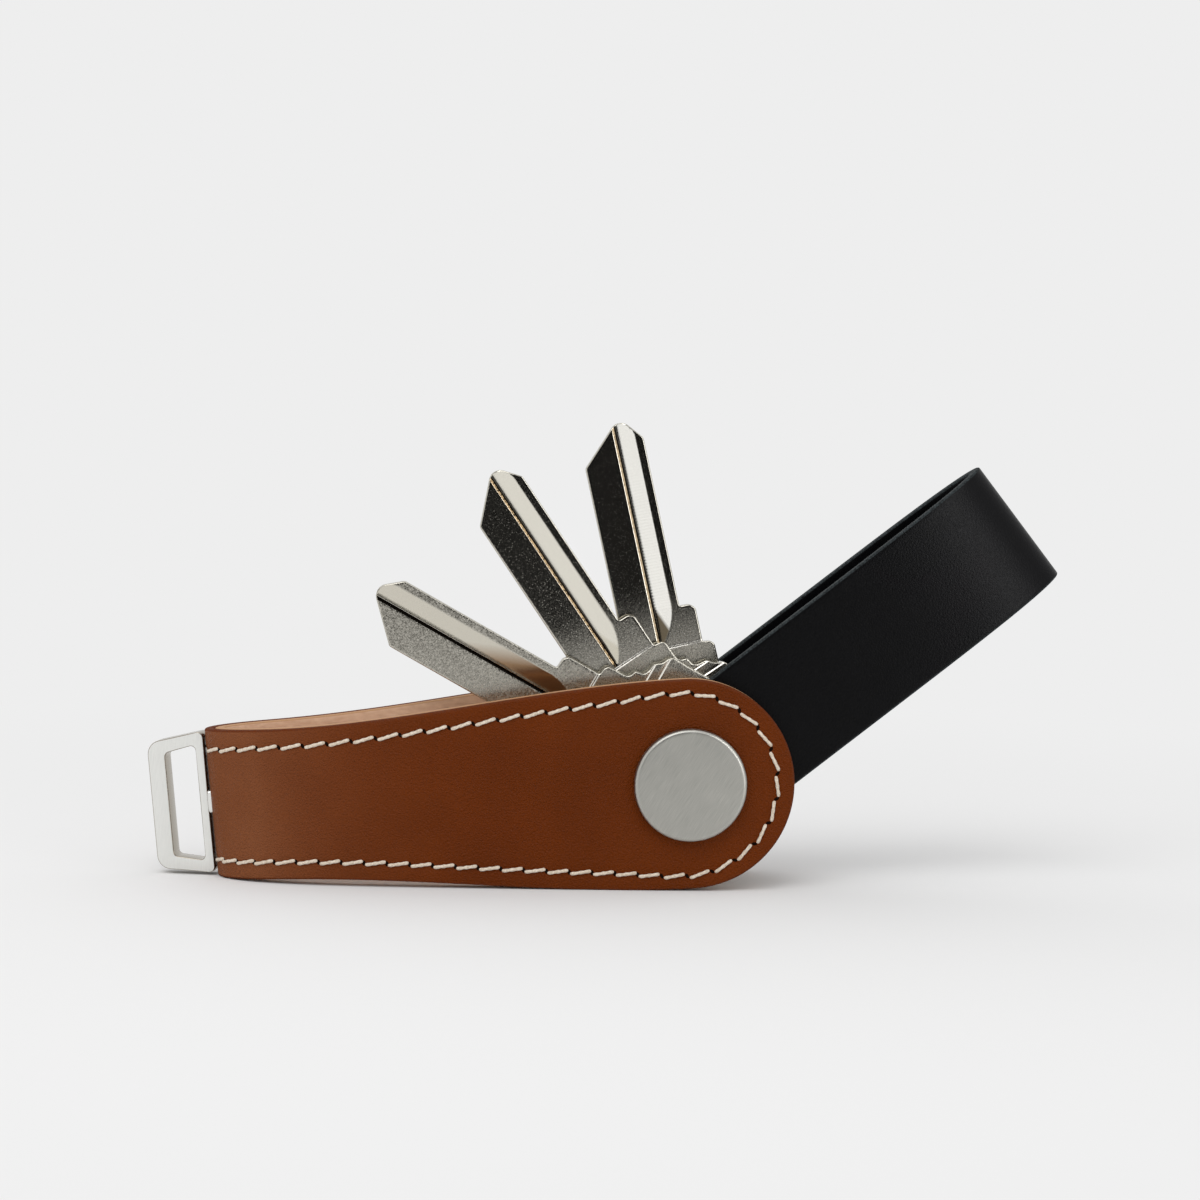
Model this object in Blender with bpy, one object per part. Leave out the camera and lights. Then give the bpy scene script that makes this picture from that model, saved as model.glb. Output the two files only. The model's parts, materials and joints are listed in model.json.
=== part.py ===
"""Leather key organizer: a folded leather case on one screw, three key blanks, a leather loop and an end ring.

Metres, +Z up. The case is designed lying level, with the pivot's axis along Y through the origin, the fold of
the case towards -X and its front face towards -Y. A root empty then tilts it until the lobe and the fold both
stand on z = 0, under the middle of the whole object.
"""

import math
from dataclasses import dataclass

import bmesh
import bpy
import numpy as np
from mathutils import Matrix, Vector

# Clearances
gap = 0.00025                   # between pieces that lie on each other
running_clearance = 0.0002      # radial, between the barrel and what turns on it
thread_clearance = 0.00015      # radial, between the screw's shank and the barrel's bore
overrun = 0.002                 # by which a cutter passes the faces that it cuts

# Leather case
lobe_radius = 0.01415
fold_half_height = 0.0101       # half the height of the narrow end
case_length = 0.0647            # pivot to the outside of the fold
waist_length = 0.0565           # over which a panel narrows from the lobe to the fold
case_bend_start = 0.015         # where the panels begin to lean towards each other
case_bend_power = 4.6
fold_lean = math.radians(2.1)    # of the fold and the ring, out of square with the case
outer_leather = 0.0014          # thickness
lining_leather = 0.0011         # thickness
lining_setback = 0.0003         # of the lining's edge from the outer leather's edge

# Seam
seam_inset = 0.00235
seam_stop = 0.0008              # from the ring to the seam's last stitch
stitch_pitch = 0.00325
stitch_length = 0.0028
stitch_width = 0.00045
stitch_height = 0.0003
stitch_lift = 0.00012           # of a stitch from the leather under it
stitch_slant = math.radians(-12)

# Leather loop
loop_half_width = 0.00925
loop_length = 0.058             # pivot to the outside of its fold
loop_bend_start = 0.010
loop_bend_power = 6.3
loop_leather = 0.0017           # thickness

# Pivot hardware
cap_radius = 0.0076
cap_thickness = 0.0013
cap_rim_radius = 0.0005
barrel_radius = 0.0025
screw_radius = 0.0015
screw_engagement = 0.009        # length of shank inside the barrel
barrel_setback = 0.0006         # of the barrel's end from the front cap
slot_length = 0.0100            # coin slot of the rear cap
slot_width = 0.0014
slot_depth = 0.0007
washer_radius = 0.0062
washer_thickness = 0.0005

# Key blank: u runs from the pivot to the tip, v from the middle of the blade to its back
key_thickness = 0.0020
blade_thickness = 0.0018
key_tip = 0.0492
key_shoulder = 0.0229
key_step = 0.0174               # where the milled faces end
blade_half_width = 0.00435
block_half_width = 0.0065
block_corner = 0.0007           # chamfer of the block beside the shoulder
nose_radius = 0.0016
nose_offset = 0.00145           # of the nose from the middle of the blade
back_corner_setback = 0.0026    # of the back's corner from the tip
bow_half_width = 0.0135
bow_end = 0.0085                # pivot to the far end of the bow
bow_middle = 0.0040             # where the round head of the bow starts
ward_edge = 0.00095             # v of the steep side of the wide groove
ward_width = 0.00235
ward_depth = 0.0005
ward_runout = 0.0050            # length over which the wide groove rises to the face
ward_end = 0.0188               # u where it has risen to the face
score_offset = 0.0004           # v of the narrow groove's middle
score_width = 0.0005
score_depth = 0.00015
band_offset = 0.0102            # u of the band pressed across the bow
band_width = 0.0014
band_depth = 0.00015

# The bow's notched shoulder, from the block outwards: u as shares of key_step, v of bow_half_width
bow_notch_shares = (
    (0.994, 0.560), (0.966, 0.596), (0.816, 0.600), (0.784, 0.628), (0.772, 0.688), (0.700, 0.704),
    (0.680, 0.760), (0.672, 0.844), (0.618, 0.893), (0.592, 0.968), (0.560, 1.000), (0.440, 0.992),
)

# End ring and the rivet that holds it
ring_height = 0.0195
ring_outer_height = 0.0172      # between the sloping sides, at the outer bar
ring_width = 0.0079
ring_thickness = 0.0028
ring_corner_radius = 0.0016
ring_near_corner_radius = 0.0007
ring_edge_radius = 0.0002
ring_near_bar = 0.00115         # bar beside the leather
ring_outer_bar = 0.0024
ring_side_bar = 0.0018
ring_hole_corner = 0.0007
ring_gap = 0.00015              # to the fold
stem_radius = 0.0009
collar_radius = 0.0016
leather_hole_radius = 0.0020
burr_radius = 0.0017
burr_thickness = 0.0005
stem_end_stand = 0.0003         # of the peened end beyond the burr
ring_aside = 0.0007             # of the ring's hole from the middle of the fold, towards the rear

# Where the moving pieces stand, above the case's own axis
key_fan = (math.radians(32.75), math.radians(59.05), math.radians(80.55))   # from the fold's side
loop_rise = math.radians(34.6)                                              # from the lobe's side

# Facets
lobe_steps = 10
panel_steps = 11
fold_steps = 9
round_steps = 32
cap_steps = 48
rim_steps = 3
corner_steps = 3
fold_steps_from_share = 0.78    # of the length, where the steps of the fold begin

# Places in the stack, all measured from the middle of key 2
key_pitch = key_thickness + gap
stack_half = key_pitch + key_thickness / 2
washer_inside = stack_half + gap
arm_inside = washer_inside + washer_thickness + gap
loop_half_depth = arm_inside + loop_leather
lining_inside = loop_half_depth + gap
leather_inside = lining_inside + lining_leather + gap
case_half_depth = leather_inside + outer_leather
cap_inside = case_half_depth + gap
cap_face = cap_inside + cap_thickness
barrel_hole_radius = barrel_radius + running_clearance
case_wall = outer_leather + gap + lining_leather


@dataclass
class Strap:
    """One strip of leather folded in a U, with a round lobe at each end."""
    lobe_radius: float
    fold_half_height: float
    waist_length: float
    length: float
    half_depth: float
    bend_start: float
    bend_power: float
    toward: int                 # which way along X the fold lies
    lean: float                 # of the fold, out of square


case_strap = Strap(lobe_radius, fold_half_height, waist_length, case_length, case_half_depth,
                   case_bend_start, case_bend_power, -1, fold_lean)
loop_strap = Strap(loop_half_width, loop_half_width, loop_length, loop_length, loop_half_depth,
                   loop_bend_start, loop_bend_power, 1, 0)


# Scene, materials and helpers

def clear_scene():
    for item in list(bpy.data.objects):
        bpy.data.objects.remove(item, do_unlink=True)


def make_material(name, colour, roughness, metallic):
    finish = bpy.data.materials.new(name)
    finish.use_nodes = True
    shader = finish.node_tree.nodes["Principled BSDF"]
    shader.inputs["Base Color"].default_value = (*colour, 1)
    shader.inputs["Roughness"].default_value = roughness
    shader.inputs["Metallic"].default_value = metallic
    return finish


def make_object(name, shape, finish=None, parent=None):
    """Turns a bmesh into an object; faces shade smooth except across real edges."""
    bmesh.ops.recalc_face_normals(shape, faces=shape.faces)
    mesh = bpy.data.meshes.new(name)
    shape.to_mesh(mesh)
    shape.free()
    mesh.shade_smooth()
    mesh.set_sharp_from_angle(angle=math.radians(35))
    item = bpy.data.objects.new(name, mesh)
    bpy.context.scene.collection.objects.link(item)
    if finish:
        mesh.materials.append(finish)
    item.parent = parent
    return item


def make_empty(name, parent=None, location=(0, 0, 0), rotation=(0, 0, 0)):
    item = bpy.data.objects.new(name, None)
    bpy.context.scene.collection.objects.link(item)
    item.parent = parent
    item.location = location
    item.rotation_euler = rotation
    return item


def combine(item, tool, operation="DIFFERENCE"):
    """Cuts item with tool, or joins them, and keeps tool as a hidden guide."""
    tool.hide_render = True
    tool.display_type = "WIRE"
    step = item.modifiers.new(tool.name, "BOOLEAN")
    step.operation = operation
    step.solver = "EXACT"
    step.object = tool


def loft(shape, sections):
    """Skins a row of closed sections, each with the same number of points, and closes both ends."""
    rings = [[shape.verts.new(point) for point in section] for section in sections]
    for near, far in zip(rings, rings[1:]):
        for here in range(len(near)):
            there = (here + 1) % len(near)
            shape.faces.new((near[here], near[there], far[there], far[here]))
    shape.faces.new(rings[0])
    shape.faces.new(rings[-1])


def turn(shape, profile, steps):
    """Turns a profile of (radius, y) about the Y axis; it starts and ends on the axis. A flat faces +X."""
    angles = [2 * math.pi * (step + 0.5) / steps for step in range(steps)]
    rings = [[shape.verts.new((radius * math.cos(angle), y, radius * math.sin(angle))) for angle in angles]
             for radius, y in profile[1:-1]]
    for near, far in zip(rings, rings[1:]):
        for here in range(steps):
            there = (here + 1) % steps
            shape.faces.new((near[here], near[there], far[there], far[here]))
    for ring, (_, y) in ((rings[0], profile[0]), (rings[-1], profile[-1])):
        pole = shape.verts.new((0, y, 0))
        for here in range(steps):
            shape.faces.new((pole, ring[here], ring[(here + 1) % steps]))


def cylinder(name, radius, near, far, axis, parent, steps=round_steps):
    """A cylinder of the given radius about X or Y, from near to far along it."""
    shape = bmesh.new()
    turn(shape, [(0, near), (radius, near), (radius, far), (0, far)], steps)
    if axis == "X":
        bmesh.ops.rotate(shape, cent=(0, 0, 0), matrix=Matrix.Rotation(-math.pi / 2, 3, "Z"), verts=shape.verts)
    return make_object(name, shape, parent=parent)


def box(name, low, high, parent):
    """A plain box between two corners, for cutting."""
    shape = bmesh.new()
    bmesh.ops.create_cube(shape, size=1)
    for vertex in shape.verts:
        vertex.co = [low[axis] if vertex.co[axis] < 0 else high[axis] for axis in range(3)]
    return make_object(name, shape, parent=parent)


def plate(shape, outline, thickness):
    """A flat plate in the XZ plane, of the given outline, centred on y = 0."""
    corners = [shape.verts.new((x, -thickness / 2, z)) for x, z in outline]
    face = shape.faces.new(corners)
    moved = bmesh.ops.extrude_face_region(shape, geom=[face])
    top = [part for part in moved["geom"] if isinstance(part, bmesh.types.BMVert)]
    bmesh.ops.translate(shape, verts=top, vec=(0, thickness, 0))


def rounded(corners):
    """An outline of (x, z, radius) corners with each corner turned into an arc."""
    outline = []
    for here, (x, z, radius) in enumerate(corners):
        corner = Vector((x, z))
        before = (Vector(corners[here - 1][:2]) - corner).normalized()
        after = (Vector(corners[(here + 1) % len(corners)][:2]) - corner).normalized()
        half = before.angle(after) / 2
        middle = corner + (before + after).normalized() * radius / math.sin(half)
        start = corner + before * radius / math.tan(half) - middle
        end = corner + after * radius / math.tan(half) - middle
        sweep = start.angle_signed(end)
        for step in range(corner_steps + 1):
            outline.append(middle + Matrix.Rotation(-sweep * step / corner_steps, 2) @ start)
    return outline


# Leather straps

def smooth(share):
    """Goes from 0 to 1 with level ends."""
    return share * share * (3 - 2 * share)


def half_height(strap, run):
    """Half the height of a panel at a distance from the pivot towards the fold."""
    share = np.clip(1 - run / strap.waist_length, 0, 1)
    return strap.fold_half_height + (strap.lobe_radius - strap.fold_half_height) * smooth(share)


def panel_stations(strap, setback=0):
    """Distances towards the fold, depths from the middle and half heights, from the lobe's tip to the fold."""
    radius = strap.lobe_radius - setback
    angles = (np.arange(lobe_steps) + 0.5) * math.pi / 2 / lobe_steps
    steps_from = strap.length * fold_steps_from_share
    flat = np.linspace(0, steps_from, panel_steps + 1)
    bend = strap.length - strap.bend_start
    first = math.asin(((steps_from - strap.bend_start) / bend) ** (strap.bend_power / 2))
    turns = np.linspace(first, math.pi / 2, fold_steps + 1)[1:]
    folded = strap.bend_start + bend * np.sin(turns) ** (2 / strap.bend_power)
    runs = np.concatenate((-radius * np.cos(angles), flat, folded))
    heights = np.concatenate((radius * np.sin(angles), half_height(strap, flat) - setback,
                              half_height(strap, folded) - setback))
    shares = np.clip((runs - strap.bend_start) / bend, 0, 1)
    depths = strap.half_depth * np.sqrt(1 - shares ** strap.bend_power)
    return runs, depths, heights


def strap_path(strap, setback=0):
    """The outer face in plan, from the front lobe round the fold to the rear lobe, with mitred normals."""
    runs, depths, heights = panel_stations(strap, setback)
    plan = np.column_stack((np.concatenate((runs, runs[-2::-1])), np.concatenate((-depths, depths[-2::-1]))))
    heights = np.concatenate((heights, heights[-2::-1]))
    along = np.diff(plan, axis=0)
    along /= np.linalg.norm(along, axis=1)[:, None]
    outward = np.column_stack((along[:, 1], -along[:, 0]))
    before = np.vstack((outward[:1], outward))
    after = np.vstack((outward, outward[-1:]))
    mitre = before + after
    mitre /= np.sum(mitre * before, axis=1)[:, None]
    return plan, mitre, heights


def leaning(strap, run, height):
    """The distance towards the fold of a point at a height, where the fold leans."""
    share = np.clip((run - strap.bend_start) / (strap.length - strap.bend_start), 0, 1)
    return run + height * math.tan(strap.lean) * smooth(share)


def strap_shape(strap, inward, thickness, setback=0):
    """A layer of the strap whose outer face lies a distance inward of the strap's outer face."""
    plan, mitre, heights = strap_path(strap, setback)
    outer = plan - mitre * inward
    inner = plan - mitre * (inward + thickness)
    sections = [[(strap.toward * leaning(strap, run, z), y, z)
                 for (run, y), z in ((a, height), (a, -height), (b, -height), (b, height))]
                for a, b, height in zip(outer, inner, heights)]
    shape = bmesh.new()
    loft(shape, sections)
    return shape


def resting_tilt(strap):
    """The tilt at which the lower edge touches the ground both at the lobe and at the fold."""
    runs, _, heights = panel_stations(strap)
    rises = np.arctan2(heights[:-1] - heights[-1], runs[-1] - runs[:-1])
    return float(rises.max())


def fold_point(strap, aside):
    """The place on the fold's outer face at a distance from its middle, and the angle at which it faces."""
    share = 1 - (aside / strap.half_depth) ** 2
    bend = strap.length - strap.bend_start
    run = strap.bend_start + bend * share ** (1 / strap.bend_power)
    slope = bend * 2 * aside / strap.half_depth ** 2 * share ** (1 / strap.bend_power - 1) / strap.bend_power
    return strap.toward * run, math.atan(slope)


def fold_room(strap, wall, half_width):
    """How far from the outside of the fold the space inside it is wide enough, for a wall of that thickness."""
    plan, mitre, _ = strap_path(strap)
    inside = plan - mitre * wall
    rear = inside[len(inside) // 2:]
    return strap.length - float(np.interp(half_width, rear[:, 1], rear[:, 0]))


def seam_line(heights, along, side):
    """One panel's seam on the strap laid flat, from the fold's lower edge round the lobe to the upper edge."""
    middle = along[-1] / 2
    pivot = along[lobe_steps]
    radius = lobe_radius - seam_inset
    angles = np.linspace(-math.pi / 2, math.pi / 2, lobe_steps * 4 + 1)
    lobe = np.column_stack((pivot - radius * np.cos(angles), radius * np.sin(angles)))
    inner = (along > pivot + gap) & (along <= middle + gap)
    top = np.column_stack((along[inner], heights[inner] - seam_inset))
    line = np.vstack((top[::-1] * (1, -1), lobe, top))
    line[:, 0] = middle + side * (middle - line[:, 0])
    return line


def on_strap(strap, along, plan, place, lift):
    """The point of space over a place on the strap laid flat."""
    piece = int(np.clip(np.searchsorted(along, place[0]) - 1, 0, len(plan) - 2))
    step = plan[piece + 1] - plan[piece]
    step_length = np.linalg.norm(step)
    foot = plan[piece] + step * (place[0] - along[piece]) / step_length
    outward = np.array((step[1], -step[0])) / step_length
    point = foot + outward * lift
    return strap.toward * leaning(strap, point[0], place[1]), point[1], place[1]


def seam_shape(strap, side):
    """One panel's thread: slanted stitches that follow each other, thin where the thread enters the leather."""
    plan, _, heights = strap_path(strap)
    along = np.concatenate(([0], np.cumsum(np.linalg.norm(np.diff(plan, axis=0), axis=1))))
    line = seam_line(heights, along, side)
    lengths = np.concatenate(([0], np.cumsum(np.linalg.norm(np.diff(line, axis=0), axis=1))))
    spare = ring_thickness / 2 + seam_stop + side * ring_aside
    count = round((lengths[-1] - 2 * spare) / stitch_pitch)
    centres = spare + (np.arange(count) + 0.5) * (lengths[-1] - 2 * spare) / count
    # along the stitch as a share of its half length, then the thread's width and height as shares
    station_shares = ((-1, 0.5, 0.3), (-0.7, 1, 1), (0.7, 1, 1), (1, 0.5, 0.3))
    sections = []
    for centre in centres:
        middle, ahead = (np.array([np.interp(place, lengths, line[:, axis]) for axis in (0, 1)])
                         for place in (centre, centre + stitch_width))
        heading = math.atan2(*(ahead - middle)[::-1]) + stitch_slant
        forward = np.array((math.cos(heading), math.sin(heading))) * stitch_length / 2
        aside = np.array((-math.sin(heading), math.cos(heading))) * stitch_width / 2
        for place, width, height in station_shares:
            here = middle + forward * place
            top = stitch_lift + stitch_height * height
            sections.append([on_strap(strap, along, plan, here + aside * width * across, lift)
                             for across, lift in ((-1, stitch_lift), (1, stitch_lift), (0.6, top), (-0.6, top))])
    shape = bmesh.new()
    loft(shape, sections)
    return shape


# Key blank

def key_outline():
    """The blank's outline as (u, v), from the nose along the back to the bow and home along the bitting."""
    nose_u = key_tip - nose_radius
    angles = [math.radians(degrees) for degrees in range(-45, 56, 20)]
    nose = [(nose_u + nose_radius * math.cos(angle), nose_offset + nose_radius * math.sin(angle))
            for angle in angles]
    back = [(key_tip - back_corner_setback, blade_half_width), (key_shoulder, blade_half_width),
            (key_shoulder, block_half_width - block_corner),
            (key_shoulder - block_corner, block_half_width), (key_step, block_half_width)]
    notches = [(u * key_step, v * bow_half_width) for u, v in bow_notch_shares]
    head = [(bow_middle - (bow_middle + bow_end) * math.sin(angle), bow_half_width * math.cos(angle))
            for angle in (math.pi * step / (2 * lobe_steps) for step in range(1, 2 * lobe_steps))]
    ramp = nose[0][1] + blade_half_width
    bitting = [(u, -v) for u, v in reversed(notches)]
    bitting += [(key_step, -blade_half_width), (nose[0][0] - ramp, -blade_half_width)]
    return nose + back + notches + head + bitting


def ward_cutter(name, face, side, parent):
    """The wide groove: steep on one side, sloping up on the other, rising out of the face near the bow."""
    section_shares = ((0, 1), (0.28, 0.82), (0.62, 0.45), (1, 0))   # across the groove, then down
    full = ward_end + ward_runout
    stations = ((key_tip + overrun, 0), (full, 0), (ward_end + ward_runout / 2, 0.35), (ward_end, 1.05))
    sections = []
    for u, lift in stations:
        section = [(ward_edge + across * ward_width, face - (down - lift) * ward_depth)
                   for across, down in section_shares]
        section += [(ward_edge + ward_width, face + overrun), (ward_edge, face + overrun)]
        sections.append([(u, -side * y, -side * v) for v, y in section])
    shape = bmesh.new()
    loft(shape, sections)
    return make_object(name, shape, parent=parent)


def score_cutter(name, face, parent):
    """The narrow groove beside the wide one."""
    shape = bmesh.new()
    sections = [[(u, -(face + score_depth), -(score_offset - score_width)),
                 (u, -(face - score_depth), -score_offset),
                 (u, -(face + score_depth), -(score_offset + score_width))]
                for u in (key_tip + overrun, ward_end)]
    loft(shape, sections)
    return make_object(name, shape, parent=parent)


def make_key(name, finish, parent):
    """One uncut blank, its pivot hole on the Y axis and its blade along +X."""
    shape = bmesh.new()
    plate(shape, [(u, -v) for u, v in key_outline()], key_thickness)
    key = make_object(name, shape, finish, parent)
    blade_face = blade_thickness / 2
    bow_face = key_thickness / 2
    for side, label in ((1, "front"), (-1, "rear")):
        low = min(side * blade_face, side * (bow_face + overrun))
        high = max(side * blade_face, side * (bow_face + overrun))
        combine(key, box(f"{name}_milled_{label}", (key_step, low, -bow_half_width),
                         (key_tip + overrun, high, bow_half_width), parent))
        low = min(side * (bow_face - band_depth), side * (bow_face + overrun))
        high = max(side * (bow_face - band_depth), side * (bow_face + overrun))
        combine(key, box(f"{name}_band_{label}", (band_offset, low, -bow_half_width - overrun),
                         (band_offset + band_width, high, bow_half_width + overrun), parent))
        combine(key, ward_cutter(f"{name}_ward_{label}", blade_face, side, parent))
    combine(key, score_cutter(f"{name}_score", blade_face, parent))
    combine(key, cylinder(f"{name}_hole", barrel_hole_radius, -bow_face - overrun, bow_face + overrun, "Y", parent))
    return key


# Pivot hardware

def cap_profile(side):
    """The flat cap with its rounded rim, from the axis over the rim to the underside: (radius, y)."""
    rim = [(cap_radius - cap_rim_radius + cap_rim_radius * math.sin(angle),
            side * (cap_face - cap_rim_radius + cap_rim_radius * math.cos(angle)))
           for angle in (math.pi / 2 * step / rim_steps for step in range(rim_steps + 1))]
    return [(0, side * cap_face)] + rim + [(cap_radius, side * cap_inside)]


def make_front_screw(finish, parent):
    """Cap with a plain shank, which stands for the thread."""
    tip = -(cap_inside - barrel_setback) + screw_engagement
    profile = cap_profile(-1) + [(screw_radius, -cap_inside), (screw_radius, tip), (0, tip)]
    shape = bmesh.new()
    turn(shape, profile, cap_steps)
    return make_object("front_screw", shape, finish, parent)


def make_barrel_nut(finish, parent):
    """Cap with the bored barrel that carries the arms and the keys, and a coin slot in its face."""
    end = -(cap_inside - barrel_setback)
    bore_radius = screw_radius + thread_clearance
    bore_end = end + screw_engagement + gap
    profile = cap_profile(1) + [(barrel_radius, cap_inside), (barrel_radius, end), (bore_radius, end),
                                (bore_radius, bore_end), (0, bore_end)]
    shape = bmesh.new()
    turn(shape, profile, cap_steps)
    nut = make_object("barrel_nut", shape, finish, parent)
    combine(nut, box("coin_slot", (-slot_length / 2, cap_face - slot_depth, -slot_width / 2),
                     (slot_length / 2, cap_face + overrun, slot_width / 2), parent))
    return nut


def make_washer(name, y, finish, parent):
    """Thin nylon washer on the barrel."""
    shape = bmesh.new()
    turn(shape, [(0, y), (washer_radius, y), (washer_radius, y + washer_thickness), (0, y + washer_thickness)],
         round_steps)
    washer = make_object(name, shape, finish, parent)
    combine(washer, cylinder(f"{name}_hole", barrel_hole_radius, y - overrun, y + washer_thickness + overrun,
                             "Y", parent))
    return washer


# End ring

def make_end_ring(finish, swivel, burr_place):
    """Flat trapezoid ring with a stem through the fold; the ring lies at -X and the swivel's axis is X."""
    near = -ring_gap
    far = near - ring_width
    half = ring_height / 2
    outer_half = ring_outer_height / 2
    outer = rounded([(near, half, ring_near_corner_radius), (far, outer_half, ring_corner_radius),
                     (far, -outer_half, ring_corner_radius), (near, -half, ring_near_corner_radius)])
    shape = bmesh.new()
    plate(shape, outer, ring_thickness)
    ring = make_object("end_ring", shape, finish, swivel)
    edge = ring.modifiers.new("soft edges", "BEVEL")
    edge.width = ring_edge_radius
    edge.segments = 1
    edge.limit_method = "ANGLE"
    edge.angle_limit = math.radians(60)
    hole = rounded([(near - ring_near_bar, half - ring_side_bar, ring_hole_corner),
                    (far + ring_outer_bar, outer_half - ring_side_bar + ring_edge_radius, ring_hole_corner),
                    (far + ring_outer_bar, -outer_half + ring_side_bar - ring_edge_radius, ring_hole_corner),
                    (near - ring_near_bar, -half + ring_side_bar, ring_hole_corner)])
    shape = bmesh.new()
    plate(shape, hole, ring_thickness + 2 * overrun)
    combine(ring, make_object("end_ring_opening", shape, parent=swivel))
    collar = cylinder("end_ring_collar", collar_radius, near - ring_near_bar / 2, case_wall, "X", swivel)
    combine(ring, collar, "UNION")
    stem = cylinder("end_ring_stem", stem_radius, near - ring_near_bar / 2,
                    burr_place + burr_thickness + stem_end_stand, "X", swivel)
    combine(ring, stem, "UNION")
    return ring


def make_ring_burr(finish, swivel, burr_place):
    """Small burr on the stem, inside the fold."""
    burr = cylinder("ring_burr", burr_radius, burr_place, burr_place + burr_thickness, "X", swivel)
    burr.data.materials.append(finish)
    combine(burr, cylinder("ring_burr_hole", stem_radius + thread_clearance, burr_place - overrun,
                           burr_place + burr_thickness + overrun, "X", swivel))
    return burr


# Assembly

def make_case(root, swivel, leather, lining, thread):
    """The folded case with its holes and its seam."""
    pivot_hole = cylinder("pivot_hole", barrel_hole_radius, -cap_face, cap_face, "Y", root)
    ring_hole = cylinder("ring_hole", leather_hole_radius, -overrun, case_wall + overrun, "X", swivel)
    case = make_object("case_leather", strap_shape(case_strap, 0, outer_leather), leather, root)
    inside = make_object("case_lining", strap_shape(case_strap, outer_leather + gap, lining_leather, lining_setback),
                         lining, root)
    for layer in (case, inside):
        combine(layer, pivot_hole)
        combine(layer, ring_hole)
    for side, panel in ((-1, "front"), (1, "rear")):
        make_object(f"seam_{panel}", seam_shape(case_strap, side), thread, root)


def make_loop(pivot, leather):
    """The black loop, with its fold along +X."""
    loop = make_object("loop_strap", strap_shape(loop_strap, 0, loop_leather), leather, pivot)
    combine(loop, cylinder("loop_hole", barrel_hole_radius, -cap_face, cap_face, "Y", pivot))


def set_down(root):
    """Moves the whole object so that it stands on z = 0, centred on the origin."""
    bpy.context.view_layer.update()
    graph = bpy.context.evaluated_depsgraph_get()
    points = []
    for item in bpy.context.scene.objects:
        if item.type == "MESH" and not item.hide_render:
            shown = item.evaluated_get(graph)
            mesh = shown.to_mesh()
            place = np.array(shown.matrix_world)
            corners = np.array([vertex.co for vertex in mesh.vertices])
            points.append(corners @ place[:3, :3].T + place[:3, 3])
            shown.to_mesh_clear()
    points = np.vstack(points)
    low = points.min(axis=0)
    high = points.max(axis=0)
    root.location = (-(low[0] + high[0]) / 2, -(low[1] + high[1]) / 2, -low[2])
    bpy.context.view_layer.update()
    print("size, metres:", (high - low).round(5))


def main():
    clear_scene()
    tan = make_material("tan_leather", (0.165, 0.055, 0.018), 0.45, 0)
    natural = make_material("natural_leather", (0.50, 0.31, 0.20), 0.7, 0)
    cream = make_material("cream_thread", (0.62, 0.54, 0.44), 0.8, 0)
    black = make_material("black_leather", (0.010, 0.010, 0.011), 0.5, 0)
    steel = make_material("satin_steel", (0.55, 0.54, 0.52), 0.32, 1)
    nickel = make_material("nickel_plate", (0.60, 0.58, 0.54), 0.22, 1)
    nylon = make_material("white_nylon", (0.75, 0.75, 0.72), 0.5, 0)

    root = make_empty("organizer", rotation=(0, -resting_tilt(case_strap), 0))
    ring_place, ring_yaw = fold_point(case_strap, ring_aside)
    swivel = make_empty("ring_swivel", root, (ring_place, ring_aside, 0), (0, -fold_lean, -ring_yaw))
    make_case(root, swivel, tan, natural, cream)
    make_front_screw(steel, root)
    make_barrel_nut(steel, root)
    make_washer("washer_front", -washer_inside - washer_thickness, nylon, root)
    make_washer("washer_rear", washer_inside, nylon, root)
    burr_place = fold_room(case_strap, case_wall, burr_radius + ring_aside + gap)
    make_end_ring(steel, swivel, burr_place)
    make_ring_burr(steel, swivel, burr_place)
    loop_pivot = make_empty("loop_pivot", root, rotation=(0, -loop_rise, 0))
    make_loop(loop_pivot, black)
    for number, fan in enumerate(key_fan):
        pivot = make_empty(f"key_{number + 1}_pivot", root, (0, (number - 1) * key_pitch, 0),
                           (0, -(math.pi - fan), 0))
        make_key(f"key_{number + 1}", nickel, pivot)
    set_down(root)
    print("pivot:", [round(value, 6) for value in root.matrix_world.translation])
    print("swivel:", [round(value, 6) for value in swivel.matrix_world.translation],
          "axis:", [round(value, 6) for value in swivel.matrix_world.to_3x3() @ Vector((1, 0, 0))])


main()
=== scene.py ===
# %% [markdown]
# A folded leather key organizer, dressed for the camera.
# The construction is already fixed: sizes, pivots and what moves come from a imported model, the frame.
# This script only makes the visible surfaces, piece by piece, and each piece rides on a body of the frame.
# Sizes are in millimetres until a point is placed, because that is how a leather worker would write them.

# %% Load the frame
import json
import math

import bmesh
import bpy
import numpy as np
from mathutils import Matrix, Vector


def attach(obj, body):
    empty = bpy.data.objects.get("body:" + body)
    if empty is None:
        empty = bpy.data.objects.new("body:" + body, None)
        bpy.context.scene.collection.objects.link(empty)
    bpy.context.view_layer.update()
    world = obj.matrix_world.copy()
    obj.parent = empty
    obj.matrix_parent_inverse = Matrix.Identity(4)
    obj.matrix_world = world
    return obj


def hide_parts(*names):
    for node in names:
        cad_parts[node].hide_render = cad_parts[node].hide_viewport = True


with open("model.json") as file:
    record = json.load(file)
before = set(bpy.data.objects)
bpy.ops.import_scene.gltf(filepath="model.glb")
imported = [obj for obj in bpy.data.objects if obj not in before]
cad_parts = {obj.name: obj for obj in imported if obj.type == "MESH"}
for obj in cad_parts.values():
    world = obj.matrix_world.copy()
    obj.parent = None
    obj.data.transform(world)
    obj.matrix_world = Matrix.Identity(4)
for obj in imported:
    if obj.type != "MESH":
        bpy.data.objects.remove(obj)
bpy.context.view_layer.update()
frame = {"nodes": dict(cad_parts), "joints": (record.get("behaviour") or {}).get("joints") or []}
joints = {joint["name"]: joint for joint in frame["joints"]}

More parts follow.
